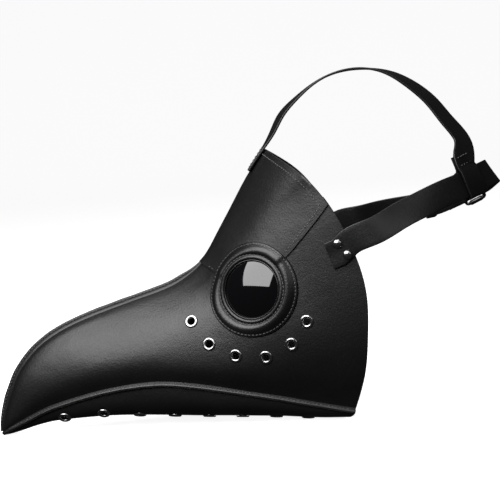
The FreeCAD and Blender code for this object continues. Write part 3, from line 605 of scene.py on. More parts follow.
# normals of a grid of points, from its own neighbours
def gridNormals(grid, sign=1.0):
    rows, cols = len(grid), len(grid[0])
    normals = []
    for i in range(rows):
        row = []
        for j in range(cols):
            along = grid[min(i + 1, rows - 1)][j] - grid[max(i - 1, 0)][j]
            down = grid[i][min(j + 1, cols - 1)] - grid[i][max(j - 1, 0)]
            n = down.cross(along) * sign
            row.append(n.normalized() if n.length > 1e-9 else Vector((0, 0, 1)))
        normals.append(row)
    return normals


shell = {
    "thickness": 1.8, "lapGap": 0.04, "rowsAlong": 180, "rowsDown": 100, "tuckUnder": 0.03,
    "flangeHeight": 3.4, "flangeThickness": 1.5, "ridgeSink": 2.7, "wave": 0.32, "ripple": 0.07,
}


# leather is never quite even: a slow wave and a finer ripple
def uneven(p):
    return noise.noise(p * 0.03) * shell["wave"] + noise.noise(p * 0.13) * shell["ripple"]


def paredTo(s):
    return min(1.0, 0.2 + 0.3 * s)


browHeight = splineThrough([p[0] for p in skin["brow"]], [p[1] for p in skin["brow"]])


# fraction down the section where the forehead panel ends
def browFraction(s):
    low, high = 0.0, 0.62
    if skinPoint(s, 0.0).z <= browHeight(skinPoint(s, 0.0).x):
        return 0.0
    for _ in range(22):
        middle = 0.5 * (low + high)
        p = skinPoint(s, middle)
        if p.z > browHeight(p.x):
            low = middle
        else:
            high = middle
    return high


coarse = [[skinPoint(i * 0.1, j / 80.0) for j in range(81)] for i in range(131)]
skinTree = BVHTree.FromPolygons([p for row in coarse for p in row], gridFaces(131, 81))


# the left skin as seen in side view
def onSide(x, z, lift=0.0):
    def hit(dx, dz):
        return skinTree.ray_cast(Vector((x + dx, -300.0, z + dz)), Vector((0, 1, 0)))
    middle, normal = hit(0, 0)[:2]
    around = [hit(dx, dz)[0] for dx, dz in ((2, 0), (-2, 0), (0, 2), (0, -2))]
    if None not in around:
        normal = (around[0] - around[1]).cross(around[2] - around[3]).normalized()
    if normal.y > 0:
        normal = -normal
    return middle + normal * lift, normal


# eye and eyelet places, needed for the holes
eye = {
    "x": 225.5, "z": 116.5, "turn": 25.0, "tilt": 10.0, "ringRadius": 39.0, "holeRadius": 24.6,
    "lensRadius": 23.6, "lensDome": 6.2, "lensBase": 1.6, "lensThickness": 2.0,
}
turn, tilt = math.radians(eye["turn"]), math.radians(eye["tilt"])
eyeAxis = Vector((-math.sin(turn) * math.cos(tilt), -math.cos(turn) * math.cos(tilt), math.sin(tilt)))
eyeAxes = axesAt(onSide(eye["x"], eye["z"])[0], eyeAxis)
eyelet = {
    "flange": 5.6, "barrel": 3.25, "bore": 2.8,
    "cheek": [(173.0, 92.0), (186.5, 73.5), (207.5, 63.5), (232.0, 61.5), (253.5, 71.5), (267.0, 89.5)],
    "chinStations": [3.72, 5.16, 6.35, 7.57, 8.74, 9.85, 10.87, 11.83],
    "chinAngles": [42.0, 44.0, 60.0, 64.0, 64.0, 64.0, 64.0, 64.0],
}
chinX = splineThrough(stationNumbers, [p[0] for p in skin["keel"]])
chinZ = splineThrough(stationNumbers, [p[1] for p in skin["keel"]])


def chinPoint(s, angle):
    seam = skinPoint(s, 1.0)
    c, n = math.cos(math.radians(angle)), max(0.0, math.sin(math.radians(angle)))
    across = math.copysign(abs(c) ** skin["squareness"], c) * seam.y
    x = seam.x + (chinX(s) - seam.x) * n ** 1.5
    return Vector((x, across, seam.z - (seam.z - chinZ(s)) * n ** skin["squareness"]))


def chinNormal(s, angle):
    along = chinPoint(min(s + 0.02, lastStation), angle) - chinPoint(max(s - 0.02, 0.0), angle)
    around = chinPoint(s, min(angle + 1.0, 180.0)) - chinPoint(s, max(angle - 1.0, 0.0))
    return around.cross(along).normalized()


cheekAxes = [axesAt(*onSide(x, z)) for x, z in eyelet["cheek"]]
chinAxes = []
for s, angle in zip(eyelet["chinStations"], eyelet["chinAngles"]):
    for a in (angle, 180.0 - angle):
        chinAxes.append(axesAt(chinPoint(s, a), chinNormal(s, a), (1, 0, 0)))
eyeHole = (eyeAxes[0], eyeAxes[3], 29.5, 60.0)
cheekHoles = [(a[0], a[3], 4.1, 9.0) for a in cheekAxes] + [eyeHole]
chinHoles = [(a[0], a[3], 4.1, 9.0) for a in chinAxes]

# side panels


def panelGrids(points, normals, outLift, inLift, pare=None):
    outer, inner = [], []
    for i, (row, normalRow) in enumerate(zip(points, normals)):
        factor = pare(i) if pare else 1.0
        outer.append([p + n * (outLift * factor + uneven(p) * factor) for p, n in zip(row, normalRow)])
        inner.append([p + n * (inLift * factor + uneven(p) * factor) for p, n in zip(row, normalRow)])
    return outer, inner


# the panels fall away beside the turned-out edges, so that the edges end on the beak's outline
def ridgeUp(s):
    along = (skinPoint(min(s + 0.05, 9.0), 0.0) - skinPoint(max(s - 0.05, 0.0), 0.0)).normalized()
    return Vector((-along.z, 0, along.x))


def ridgeSink(s):
    return shell["ridgeSink"] * min(1.0, 0.3 + 0.3 * s) * smooth((9.2 - s) / 1.5) if s < 9.2 else 0.0


def sideGrid():
    grid = []
    for i in range(shell["rowsAlong"]):
        s = lastStation * i / (shell["rowsAlong"] - 1)
        start = max(0.0, browFraction(s) - shell["tuckUnder"]) if s > 8.5 else 0.0
        down = shell["rowsDown"] - 1
        row = [skinPoint(s, start + (1.0 - start) * j / down) for j in range(down + 1)]
        sink = ridgeSink(s)
        grid.append([p + (ridgeUp(s) * -sink * math.exp(-((p - row[0]).length / 7.0) ** 2) if sink else Vector())
                     for p in row])
    return grid


def pareRow(i):
    return paredTo(lastStation * i / (shell["rowsAlong"] - 1))


sidePoints = sideGrid()
sideNormals = gridNormals(sidePoints)


# a folded edge from its rows of points; the outer faces of each row are cut leather
def foldedEdge(verts, rows):
    count = len(verts) // rows
    faces = gridFaces(rows, count, closeCols=True) + endCaps(rows, count)
    kinds = [2 if k < (rows - 1) * count and k % count in (1, 2, 3) else 0 for k in range(len(faces))]
    return verts, faces, kinds


# turned-out edge along the top of the beak
def ridgeShape():
    verts = []
    for i in range(181):
        s = i * 0.05
        up = ridgeUp(s)
        p = skinPoint(s, 0.0) - up * ridgeSink(s)
        rise = shell["flangeHeight"] * min(1.0, 0.45 + 0.3 * s) * min(1.0, 0.35 + (9.0 - s) * 0.8)
        rise += noise.noise(p * 0.08) * 0.2
        thick = shell["flangeThickness"]
        for side, height in ((0.04, -1.6), (0.04, rise - 0.3), (0.25, rise), (thick - 0.45, rise),
                             (thick - 0.1, rise - 0.35), (thick, rise * 0.5), (thick + 0.05, -0.2),
                             (thick + 0.9, -1.3)):
            verts.append(p + up * height - Vector((0, side, 0)))
    return foldedEdge(verts, 181)


def ridgeLine():
    line = []
    for i in range(170):
        s = 0.6 + i * 0.047
        up = ridgeUp(s)
        p = skinPoint(s, 0.0) - up * ridgeSink(s)
        rise = shell["flangeHeight"] * min(1.0, 0.45 + 0.3 * s) * 0.5
        line.append((p + up * rise - Vector((0, shell["flangeThickness"] + 0.12, 0)), Vector((0, -1, 0))))
    return line


def seamFrame(s):
    p = skinPoint(s, 1.0)
    along = (skinPoint(min(s + 0.05, 13.0), 1.0) - skinPoint(max(s - 0.05, 0.0), 1.0)).normalized()
    n = skinNormal(s, 1.0)
    out = Vector((n.x, n.y, 0)) * 0.8 + Vector((0, 0, -0.6))
    out = (out - along * out.dot(along)).normalized()
    across = out.cross(along)
    return p, out, across if across.z > 0 else -across


# turned-out edge along the chin seam; sign is +1 for the side panel's layer, -1 for the chin's
def seamShape(sign):
    verts = []
    for i in range(241):
        s = 13.0 * i / 240
        p, out, across = seamFrame(s)
        reach = shell["flangeHeight"] * min(1.0, 0.4 + 0.3 * s) + noise.noise(p * 0.09) * 0.2
        inner = 1.1 * min(1.0, 0.5 + 0.25 * s)
        thick = shell["flangeThickness"]
        for a, b in ((-inner, 0.03), (reach - 0.3, 0.03), (reach, 0.3), (reach, thick - 0.5),
                     (reach - 0.35, thick - 0.08), (reach * 0.5, thick), (-inner, thick + 0.1)):
            verts.append(p + out * a + across * b * sign)
    return foldedEdge(verts, 241)


def seamLine(sign):
    line = []
    for i in range(200):
        s = 0.7 + 12.2 * i / 199
        p, out, across = seamFrame(s)
        reach = shell["flangeHeight"] * min(1.0, 0.4 + 0.3 * s) * 0.52
        line.append((p + out * reach + across * sign * (shell["flangeThickness"] + 0.1), across * sign))
    return line


sideOuter, sideInner = panelGrids(sidePoints, sideNormals, -shell["lapGap"], -shell["thickness"], pareRow)
leftSide = joined([sheetShape(sideOuter, sideInner, cheekHoles), ridgeShape(), seamShape(1.0)])
leatherSet = [panelLeather, fleshSide, cutEdge]
makePair("SideLeather", leftSide, leatherSet, "side_panel")
makePair("SeamThread", joined([stitchRow(seamLine(1.0)), stitchRow(seamLine(-1.0))]), [waxedThread])
makePair("RidgeThread", stitchRow(ridgeLine()), [waxedThread])
print("side panels")

# chin panel
chin = {"rowsAlong": 170, "rowsRound": 64}
chinGrid = []
for i in range(chin["rowsAlong"]):
    s = lastStation * i / (chin["rowsAlong"] - 1)
    last = chin["rowsRound"] - 1
    chinGrid.append([chinPoint(s, 90.0 - 90.0 * math.cos(math.pi * j / last)) for j in range(last + 1)])
chinNormals = gridNormals(chinGrid)
chinOuter, chinInner = panelGrids(chinGrid, chinNormals, -0.03, -shell["thickness"],
                                  lambda i: paredTo(lastStation * i / (chin["rowsAlong"] - 1)))
chinLayer = seamShape(-1.0)
chinShape = joined([sheetShape(chinOuter, chinInner, chinHoles), chinLayer, mirrored(chinLayer)])
makePiece("chinLeather", chinShape, leatherSet, replaces=["chin_panel"])
print("chin panel")

# forehead panel
forehead = {"rowsAlong": 84, "rowsAcross": 91, "start": 8.96, "stitchInset": 0.018, "topInset": 0.17}


def foreheadSkin(s, v):
    p = skinPoint(s, max(abs(v), 1e-4))
    return Vector((p.x, -p.y if v < 0 else p.y, p.z))


foreheadGrid = []
for i in range(forehead["rowsAlong"]):
    s = forehead["start"] + (lastStation - forehead["start"]) * i / (forehead["rowsAlong"] - 1)
    edge = max(browFraction(s), 0.006)
    last = forehead["rowsAcross"] - 1
    foreheadGrid.append([foreheadSkin(s, edge * (2.0 * j / last - 1.0)) for j in range(last + 1)])
foreheadNormals = gridNormals(foreheadGrid)
foreheadOuter, foreheadInner = panelGrids(foreheadGrid, foreheadNormals, shell["thickness"], shell["lapGap"])
rightEyeHole = (*(Vector((p.x, -p.y, p.z)) for p in eyeHole[:2]), *eyeHole[2:])
makePiece("foreheadLeather", sheetShape(foreheadOuter, foreheadInner, [eyeHole, rightEyeHole]), leatherSet,
          replaces=["forehead_panel"])


def browLine():
    line = []
    for i in range(120):
        s = 9.25 + 3.62 * i / 119
        v = max(browFraction(s) - forehead["stitchInset"], 0.0)
        p, n = skinPoint(s, v), skinNormal(s, max(v, 0.02))
        if (p - eyeAxes[0]).cross(eyeAxis).length < eye["ringRadius"] + 1.0:
            if line and line[-1] is not None:
                line.append(None)
            continue
        line.append((p + n * (shell["thickness"] + uneven(p) + 0.1), n))
    return line


def splitRows(line):
    rows, current = [], []
    for entry in line + [None]:
        if entry is None:
            if len(current) > 2:
                rows.append(current)
            current = []
        else:
            current.append(entry)
    return rows


browThread = joined([stitchRow(row) for row in splitRows(browLine())])
topLine = []
sTop = lastStation - forehead["topInset"]
for j in range(91):
    v = (browFraction(sTop) - 0.012) * (2.0 * j / 90 - 1.0)
    p = foreheadSkin(sTop, v)
    n = skinNormal(sTop, abs(v))
    n = Vector((n.x, -n.y if v < 0 else n.y, n.z))
    topLine.append((p + n * (shell["thickness"] + uneven(p) + 0.1), n))
makePair("BrowThread", browThread, [waxedThread])
makePiece("topEdgeThread", stitchRow(topLine), [waxedThread])
print("forehead panel")

# eyes
ring = {
    "profile": [
        (24.6, 2.0), (24.75, 2.9), (25.3, 3.4), (26.3, 3.6), (27.3, 3.4), (28.0, 2.85), (28.4, 2.65), (28.8, 2.85),
        (29.6, 3.5), (31.0, 3.95), (32.6, 3.95), (34.2, 3.5), (35.7, 2.7), (36.7, 1.95), (37.2, 1.75), (37.7, 1.85),
        (38.4, 1.6), (38.85, 1.1), (39.0, 0.5),
    ],
    "count": 168, "innerStitch": 28.4, "outerStitch": 37.2, "puff": 0.1,
}
ringHeight = splineThrough([p[0] for p in ring["profile"]], [p[1] for p in ring["profile"]])


# height of the leather under the ring, measured along the eye's axis
def underRing(r, a):
    spot = fromLocal(eyeAxes, r * math.cos(a), r * math.sin(a), 40.0)
    hit = skinTree.ray_cast(spot, -eyeAxes[3])[0]
    if hit is None:
        return -8.0
    lap = smooth((hit.z - browHeight(hit.x)) / 5.0 + 0.5) * shell["thickness"] if 160 < hit.x < 304 else 0.0
    return 40.0 - (spot - hit).length + lap


def ringTop(r, a):
    under = underRing(r, a)
    share = smooth((r - eye["holeRadius"]) / (eye["ringRadius"] - eye["holeRadius"]))
    puff = ring["puff"] * math.sin(a * 68) * max(0.0, 1 - abs(r - 31.8) / 4.0)
    return max(ringHeight(r) + share * under + puff, under + 0.5)


def ringShape():
    verts = []
    for k in range(ring["count"]):
        a = 2 * math.pi * k / ring["count"]
        column = [(r, ringTop(r, a)) for r, _ in ring["profile"]]
        foot = underRing(eye["ringRadius"], a)
        column += [(eye["ringRadius"], foot - 0.4), (eye["ringRadius"] - 1.5, foot - 0.6)]
        column += [(eye["holeRadius"] + 1.0, -6.0), (eye["holeRadius"], -6.0)]
        verts += [fromLocal(eyeAxes, r * math.cos(a), r * math.sin(a), h) for r, h in column]
    return verts, gridFaces(ring["count"], len(ring["profile"]) + 4, closeRows=True, closeCols=True)


def ringStitches(radius):
    line = []
    for k in range(181):
        a = 2 * math.pi * k / 180
        o, p, q = (fromLocal(eyeAxes, r * math.cos(a), r * math.sin(a), ringTop(r, a) + 0.12)
                   for r in (radius - 1, radius, radius + 1))
        around = Vector(fromLocal(eyeAxes, -math.sin(a), math.cos(a), 0)) - eyeAxes[0]
        line.append((p, (q - o).cross(around).normalized()))
    if line[0][1].dot(eyeAxis) < 0:
        line = [(p, -n) for p, n in line]
    return stitchRow(line, 0.0, 0.0)


domeRadius = (eye["lensRadius"] ** 2 + eye["lensDome"] ** 2) / (2 * eye["lensDome"])


def domeProfile(rise, count=22):
    points = []
    for i in range(count + 1):
        r = eye["lensRadius"] * (1 - i / count)
        points.append((r, rise + math.sqrt(domeRadius ** 2 - r * r) - (domeRadius - eye["lensDome"])))
    return points


lensOutline = domeProfile(eye["lensBase"])
lensOutline += [(r, h - eye["lensThickness"]) for r, h in reversed(lensOutline)]
cupOutline = softened([
    (22.0, -1.8), (22.0, -0.6), (23.65, -0.6), (23.65, 2.7), (24.4, 2.7), (24.4, -6.6), (27.4, -6.6), (27.4, -7.6),
    (23.4, -7.6), (23.4, -1.8),
], 0.3)
for pad in makePair("EyeRing", ringShape(), [ringLeather], "eye_ring", sharp=70):
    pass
ringThread = joined([ringStitches(ring["innerStitch"]), ringStitches(ring["outerStitch"])])
makePair("RingThread", ringThread, [waxedThread])
makePair("Lens", turnedShape(eyeAxes, lensOutline, 112), [darkLens], "lens", sharp=40)
makePair("LensCup", turnedShape(eyeAxes, cupOutline, 112), [cupPlastic], "lens_cup", sharp=60)
for node in ("left_eye_backing", "right_eye_backing"):
    dressed(node, liningWeave)
print("eyes")

# eyelets
flangeMiddle = 0.5 * (eyelet["bore"] + eyelet["flange"])
flangeHalf = 0.5 * (eyelet["flange"] - eyelet["bore"])
eyeletOutline = [(eyelet["bore"], -3.7), (4.3, -3.5), (4.3, -3.1), (eyelet["barrel"], -3.1), (eyelet["barrel"], 0.12)]
eyeletOutline += [(flangeMiddle + flangeHalf * math.cos(math.pi * i / 10), 0.12 + 1.1 * math.sin(math.pi * i / 10))
                  for i in range(11)]


def eyeletRow(places):
    return joined([turnedShape(a, eyeletOutline, 40) for a in places])


makePair("CheekEyelets", eyeletRow(cheekAxes), [nickel], "cheek_eyelets")
makePiece("chinEyelets", eyeletRow(chinAxes), [nickel], replaces=["chin_eyelets"])
for node in ("left_cheek_washers", "right_cheek_washers", "chin_washers", "left_rivet_caps", "right_rivet_caps"):
    dressed(node, nickel)
print("eyelets")

# straps
strap = {
    "width": 22.0, "thickness": 2.2, "crownThickness": 1.8, "wrapInner": 1.65, "barRadius": 1.3, "outerBarRadius": 1.6,
    "reach": 17.0, "rise": 3.2, "barHeight": 13.6, "sideBarRadius": 2.1, "cornerRadius": 0.55, "rivetPitch": 11.8,
    "loopX": 428.5, "holeLength": 8.4, "prongHoleLength": 11.0, "holeWidth": 3.6, "rivetRadius": 3.8,
    "prongRadius": 1.1, "prongEye": 2.6, "prongClearance": 0.42, "prongOverhang": 2.2,
}
strapUp = Vector((-0.35, 0, 0.94))
barCentre = Vector((411.0, 24.5, 177.5))
buckleForward = Vector((0.776, -0.502, 0.388)).normalized()
buckleUp = (strapUp - buckleForward * strapUp.dot(buckleForward)).normalized()
buckleOut = buckleUp.cross(buckleForward)


def atBuckle(forward, out, up=0.0):
    return barCentre + buckleForward * forward + buckleOut * out + buckleUp * up


# points spread evenly along a smooth path; values given at its corners may be spread in place of the points
def smoothPath(points, count, values=None):
    steps = [0.0]
    for a, b in zip(points, points[1:]):
        steps.append(steps[-1] + (b - a).length)
    curves = [splineThrough(steps, [p[k] for p in values or points]) for k in range(3)]
    return [Vector([c(steps[-1] * i / (count - 1.0)) for c in curves]) for i in range(count)]


def stripProfile(width, thickness, corner, crown=0.12):
    a, b = width / 2, thickness / 2
    outline = [(-a, -b), (-a, b)] + [(-a + width * k / 6, b + crown * (1 - (k / 3 - 1) ** 2)) for k in range(1, 6)]
    outline += [(a, b), (a, -b)] + [(a - width * k / 6, -b) for k in range(1, 6)]
    out = []
    for k, p in enumerate(outline):
        if k in (0, 1, 7, 8):
            before, after = Vector(outline[k - 1]), Vector(outline[(k + 1) % len(outline)])
            out += [(q.x, q.y) for q in cornerArc(Vector(p), before, after, corner, (0, 0.33, 0.67, 1))]
        else:
            out.append(p)
    return out


# a strip bent along a path; where it lies over the cheek it is lifted clear of the skin
def stripShape(frames, width, thickness, over=None, closed=False, corner=strap["cornerRadius"]):
    profile = stripProfile(width, thickness, corner)
    verts = []
    for p, _, across, out in frames:
        for a, b in profile:
            q = p + across * a
            if over:
                q = q + out * over(q, out, thickness)
            verts.append(q + out * b)
    count = len(profile)
    faces = gridFaces(len(frames), count, closeRows=closed, closeCols=True)
    return verts, faces if closed else faces + endCaps(len(frames), count)


def clearOfSkin(sign):
    def lift(q, out, thickness):
        start = Vector((q.x, q.y * sign, q.z))
        way = Vector((out.x, out.y * sign, out.z))
        hit = skinTree.ray_cast(start + way * 12.0, -way, 26.0)[0]
        if hit is None:
            return 0.0
        fade = 1.0 - smooth((start.x - 300.0) / 9.0)
        return max(0.0, (hit - start).dot(way) + thickness / 2 + 0.12) * fade
    return lift


strapLift = strap["thickness"] / 2 + 0.15
strapEnd, rivetMiddle = (onSide(x, z, strapLift)[0] for x, z in ((289.0, 141.3), (299.5, 146.3)))
exitFraction = min((abs(skinPoint(12.98, k / 200.0).z - 150.8), k / 200.0) for k in range(40, 120))[1]
strapExit = skinPoint(12.98, exitFraction) + skinNormal(12.98, exitFraction) * strapLift
leftLeg = [strapEnd, rivetMiddle, strapExit] + [Vector(p) for p in (
    (324.0, -74.0, 159.0), (345.0, -66.5, 168.0), (368.0, -55.5, 176.4), (390.0, -43.0, 183.2), (404.0, -34.0, 186.6),
    (414.0, -25.2, 189.6), (423.0, -16.2, 192.2), (430.0, -9.2, 194.0), (433.8, -3.6, 194.6), (434.4, 2.2, 193.2),
    (431.6, 8.2, 189.6),
)] + [atBuckle(forward, out) for forward, out in (
    (21.0, -0.6), (16.5, -0.2), (12.5, 1.4), (8.0, 3.7), (3.5, 5.1), (-2.0, 5.3), (-8.0, 4.5), (-14.0, 3.7),
)]
foldLayer = strap["thickness"] / 2 + 0.05
wrapMiddle = strap["wrapInner"] + strap["thickness"] / 2


def acrossPlane(p, extra=0.0):
    return Vector((p.x, -p.y, p.z + extra))


rightPath = [acrossPlane(strapEnd), acrossPlane(rivetMiddle), acrossPlane(strapExit, 0.4)] + [Vector(p) for p in (
    (324.0, 74.0, 156.3), (344.0, 65.0, 160.4), (362.0, 54.3, 163.4), (378.0, 45.0, 165.6), (391.4, 36.9, 168.5),
)] + [atBuckle(-14.0, foldLayer), atBuckle(-8.0, foldLayer + 0.3), atBuckle(-3.0, 2.5), atBuckle(0.0, wrapMiddle)]
tailPoints = [entry[0] - entry[3] * (strap["thickness"] + 0.25) for entry in pathFrames(rightPath, strapUp)[6:8]]
leftRun = smoothPath(leftLeg + list(reversed(tailPoints)), 170)
# the strap leans as it leaves the cheek, and its upper edge falls back at the bend
bendAt = max(range(170), key=lambda i: leftRun[i].x)
bendUp = Vector((-0.54, 0, 0.84))
leanAt = min(range(bendAt), key=lambda i: abs(leftRun[i].x - 356.0))
leanUp = Vector((0, 0.5, 1))
leftHints = []
for i in range(170):
    leaning = strapUp.lerp(leanUp, math.exp(-((i - leanAt) / 22.0) ** 2))
    leftHints.append(leaning.lerp(bendUp, math.exp(-((i - bendAt) / 13.0) ** 2)))
leftFrames = pathFrames(leftRun, leftHints)
rightRun = smoothPath(rightPath, 80)
wrapRun = [atBuckle(wrapMiddle * math.sin(math.pi * k / 12), wrapMiddle * math.cos(math.pi * k / 12))
           for k in range(1, 12)]
backRun = smoothPath([
    atBuckle(0.0, -wrapMiddle), atBuckle(-3.0, -2.5), atBuckle(-8.0, -foldLayer - 0.4),
    atBuckle(-12.0, -foldLayer - 0.15), atBuckle(-16.0, -foldLayer - 0.35),
], 26)
rightFrames = pathFrames(rightRun + wrapRun + backRun, strapUp)


# punches closed outlines out of a strip with a boolean, once, and keeps the result as plain mesh
def punched(piece, cutters):
    for points, depthWay in cutters:
        ring = [place(p - depthWay * 7) for p in points] + [place(p + depthWay * 7) for p in points]
        count = len(points)
        faces = [tuple(range(count)), tuple(reversed(range(count, 2 * count)))]
        faces += [(k, (k + 1) % count, count + (k + 1) % count, count + k) for k in range(count)]
        mesh = bpy.data.meshes.new("cutter")
        mesh.from_pydata(ring, [], faces)
        work = bmesh.new()
        work.from_mesh(mesh)
        bmesh.ops.recalc_face_normals(work, faces=work.faces)
        work.to_mesh(mesh)
        work.free()
        cutter = bpy.data.objects.new("cutter", mesh)
        scene.collection.objects.link(cutter)
        cut = piece.modifiers.new("cut", "BOOLEAN")
        cut.operation, cut.object, cut.solver = "DIFFERENCE", cutter, "EXACT"
        whole = bpy.data.meshes.new_from_object(piece.evaluated_get(bpy.context.evaluated_depsgraph_get()))
        piece.modifiers.remove(cut)
        bpy.data.objects.remove(cutter)
        piece.data = whole


def oblong(middle, along, across, length, width):
    points, half = [], length / 2 - width / 2
    for sign in (1, -1):
        for k in range(9):
            a = -math.pi / 2 + math.pi * k / 8
            ahead, aside = half + width / 2 * math.cos(a), width / 2 * math.sin(a)
            points.append(middle + (along * ahead + across * aside) * sign)
    return points


def punchAt(forward, out, slope, length):
    ahead = buckleForward * math.cos(slope) + buckleOut * math.sin(slope)
    return oblong(atBuckle(forward, out), ahead, buckleUp, length, strap["holeWidth"]), ahead.cross(buckleUp)


leftStrap = makePiece("leftStrap", stripShape(leftFrames, strap["width"], strap["thickness"], clearOfSkin(1)),
                      [strapLeather], replaces=["left_strap"])
punched(leftStrap, [
    punchAt(7.1, 4.0, math.radians(-22), strap["prongHoleLength"]),
    punchAt(23.5, -0.5, 0.0, strap["holeLength"]), punchAt(-6.9, 4.7, math.radians(8), strap["holeLength"]),
])
rightStrap = makePiece("rightStrap", stripShape(rightFrames, strap["width"], strap["thickness"], clearOfSkin(-1)),
                       [strapLeather], replaces=["right_strap"])
slot = [atBuckle(f, 0.0, u) for f, u in ((-3.4, -2.2), (5.1, -2.2), (5.1, 2.2), (-3.4, 2.2))]
punched(rightStrap, [(slot, buckleOut)])

# crown strap: over the head, then round the left leg and back on itself
legIndex = min(range(95), key=lambda i: abs(leftFrames[i][0].x - strap["loopX"]))
legPoint, legTangent, legUp, legOut = leftFrames[legIndex]
crownLift = shell["thickness"] + 0.1 + strap["crownThickness"] / 2


def onForehead(s):
    return skinPoint(s, 0.0) + skinNormal(s, 0.0) * crownLift


def atLeg(up, out):
    return legPoint + legUp * up + legOut * out


tab = strap["crownThickness"] / 2 + 0.05
loopOut = strap["thickness"] / 2 + 0.4 + strap["crownThickness"] / 2
loopUp = strap["width"] / 2 + 0.6 + strap["crownThickness"] / 2
crownPath = [onForehead(12.15), onForehead(12.6), onForehead(13.0)] + [Vector(p) for p in (
    (253.0, 0, 242.0), (260.5, 0, 254.5), (273.5, 0, 267.2), (291.5, 0, 280.0), (312.5, 0, 287.6), (333.5, -0.5, 288.3),
    (353.0, -1.5, 283.2), (371.5, -3.5, 271.5), (387.0, -6.0, 256.5), (398.4, -10.0, 240.0), (409.5, -14.5, 222.5),
)] + [atLeg(18.5, tab)]
# which way the strap's width points at each of those places
crownHints = [Vector(hint).normalized() for hint in (
    (0, 1, 0), (0, 1, 0), (-0.03, 1, 0), (-0.12, 0.99, 0.04), (-0.14, 0.99, 0.07), (-0.06, 1, 0.05), (0, 1, 0),
    (0, 1, -0.02), (0.1, 0.99, 0), (0.28, 0.95, 0.08), (0.42, 0.9, 0.17), (0.5, 0.85, 0.19), (0.54, 0.82, 0.2),
    (0.6, 0.78, 0.22), legTangent,
)]
crownRun = smoothPath(crownPath, 84)
crownWidths = smoothPath(crownPath, 84, crownHints)
loopCorners = [(17.0, tab), (13.2, tab + 0.25), (11.0, loopOut), (-11.0, loopOut)]
loopRun = [atLeg(u, o) for u, o in loopCorners]
for k in range(1, 8):
    a = math.pi * k / 8
    loopRun.append(atLeg(-11.0 - (loopUp - 11.0) * math.sin(a), loopOut * math.cos(a)))
loopRun += [atLeg(u, -o) for u, o in reversed(loopCorners)] + [atLeg(24.5, -tab)]
crownFrames = pathFrames(crownRun + loopRun, crownWidths + [legTangent] * len(loopRun))
makePiece("crownStrap", stripShape(crownFrames, strap["width"], strap["crownThickness"]), [strapLeather],
          replaces=["crown_strap"])
print("straps")


# rows of stitches that hold the strap ends
def strapRow(frames, first, last, offset, lift):
    return [(p + across * offset + out * lift, out) for p, _, across, out in frames[first:last + 1]]


def crossRow(middle, across, out):
    return [(middle + across * (8.0 * (k / 6 - 1)), out) for k in range(13)]


def strapThread(name, rows):
    makePiece(name, joined([stitchRow(r, 0.6, 0.6) for r in rows]), [waxedThread])


crownTop = strap["crownThickness"] / 2 + 0.2
crownRows = [strapRow(crownFrames, 1, 7, 8.0, crownTop), strapRow(crownFrames, 1, 7, -8.0, crownTop)]
crownRows += [crossRow(p + out * crownTop, across, out) for p, _, across, out in (crownFrames[1], crownFrames[7])]
foldTop = foldLayer + strap["thickness"] / 2 + 0.28
foldRows = []
for sign in (1, -1):
    for up in (15.5, 22.5):
        crownRows.append(crossRow(atLeg(up, sign * (tab + crownTop - 0.05)), legTangent, legOut * sign))
    for forward in (-6.5, -13.0):
        foldRows.append(crossRow(atBuckle(forward, sign * foldTop), buckleUp, buckleOut * sign))
strapThread("crownThread", crownRows)
strapThread("foldThread", foldRows)

# rivets
rivetAt = min(range(30), key=lambda i: (leftFrames[i][0] - rivetMiddle).length)
rivetSpot, _, rivetAcross, rivetOut = leftFrames[rivetAt]
headBase, headRadius = strap["thickness"] / 2 + 0.05, strap["rivetRadius"]
rivetOutline = [(0.0, -5.05), (1.5, -5.05), (1.5, headBase), (headRadius - 0.2, headBase)]
rivetOutline.append((headRadius, headBase + 0.15))
for i in range(11):
    a = math.pi / 20 * i
    rivetOutline.append((headRadius * math.cos(a), headBase + 0.4 + headRadius / 2 * math.sin(a)))
rivetShapes = []
for sign in (-0.5, 0.5):
    spot = rivetSpot + rivetAcross * sign * strap["rivetPitch"]
    spot = spot + rivetOut * clearOfSkin(1)(spot, rivetOut, strap["thickness"])
    rivetShapes.append(turnedShape(axesAt(spot, rivetOut), rivetOutline, 40))
makePair("Rivets", joined(rivetShapes), [nickel], "rivets")

# buckle
reach, rise, high = strap["reach"], strap["rise"], strap["barHeight"]
corners = [Vector(p) for p in ((0, 0, high), (reach, rise, high), (reach, rise, -high), (0, 0, -high))]
framePath, frameRadii = [], []
for k, p in enumerate(corners):
    after = corners[(k + 1) % 4]
    rounded = cornerArc(p, corners[k - 1], after, 2.2, [i / 6 for i in range(7)])
    frameRadii += [strap["outerBarRadius"] if p.x else strap["barRadius"]] * 7
    # the side bars are stouter than the bars under the leather
    if k in (0, 2):
        rounded += [p.lerp(after, t) for t in (0.22, 0.5, 0.78)]
        frameRadii += [strap["sideBarRadius"]] * 3
    framePath += [atBuckle(*q) for q in rounded]
makePiece("buckleFrame", tubeShape(framePath, frameRadii, 18, closed=True), [blackMetal], body="buckle_frame",
          replaces=["buckle_frame"])
barAxes = axesAt(barCentre, buckleUp, buckleOut)
eyeOutline = softened([(1.38, -1.6), (1.38, 1.6), (strap["prongEye"], 1.6), (strap["prongEye"], -1.6)], 0.35)
armRest = rise + strap["outerBarRadius"] + strap["prongRadius"] + strap["prongClearance"]
armStart, armLift = 1.4, 1.7
armSlope = (armRest - armLift) / (reach - armStart)
armPath, armRadii = [], []
for i in range(15):
    f = armStart + (reach + strap["prongOverhang"] - armStart) * i / 14
    armPath.append(atBuckle(f, armLift + (f - armStart) * armSlope))
    armRadii.append(strap["prongRadius"] if i < 12 else 1.05 - 0.12 * (i - 11))
tipWay = (armPath[-1] - armPath[-2]).normalized()
for k, r in ((0.35, 0.55), (0.5, 0.2)):
    armPath.append(armPath[14] + tipWay * k)
    armRadii.append(r)
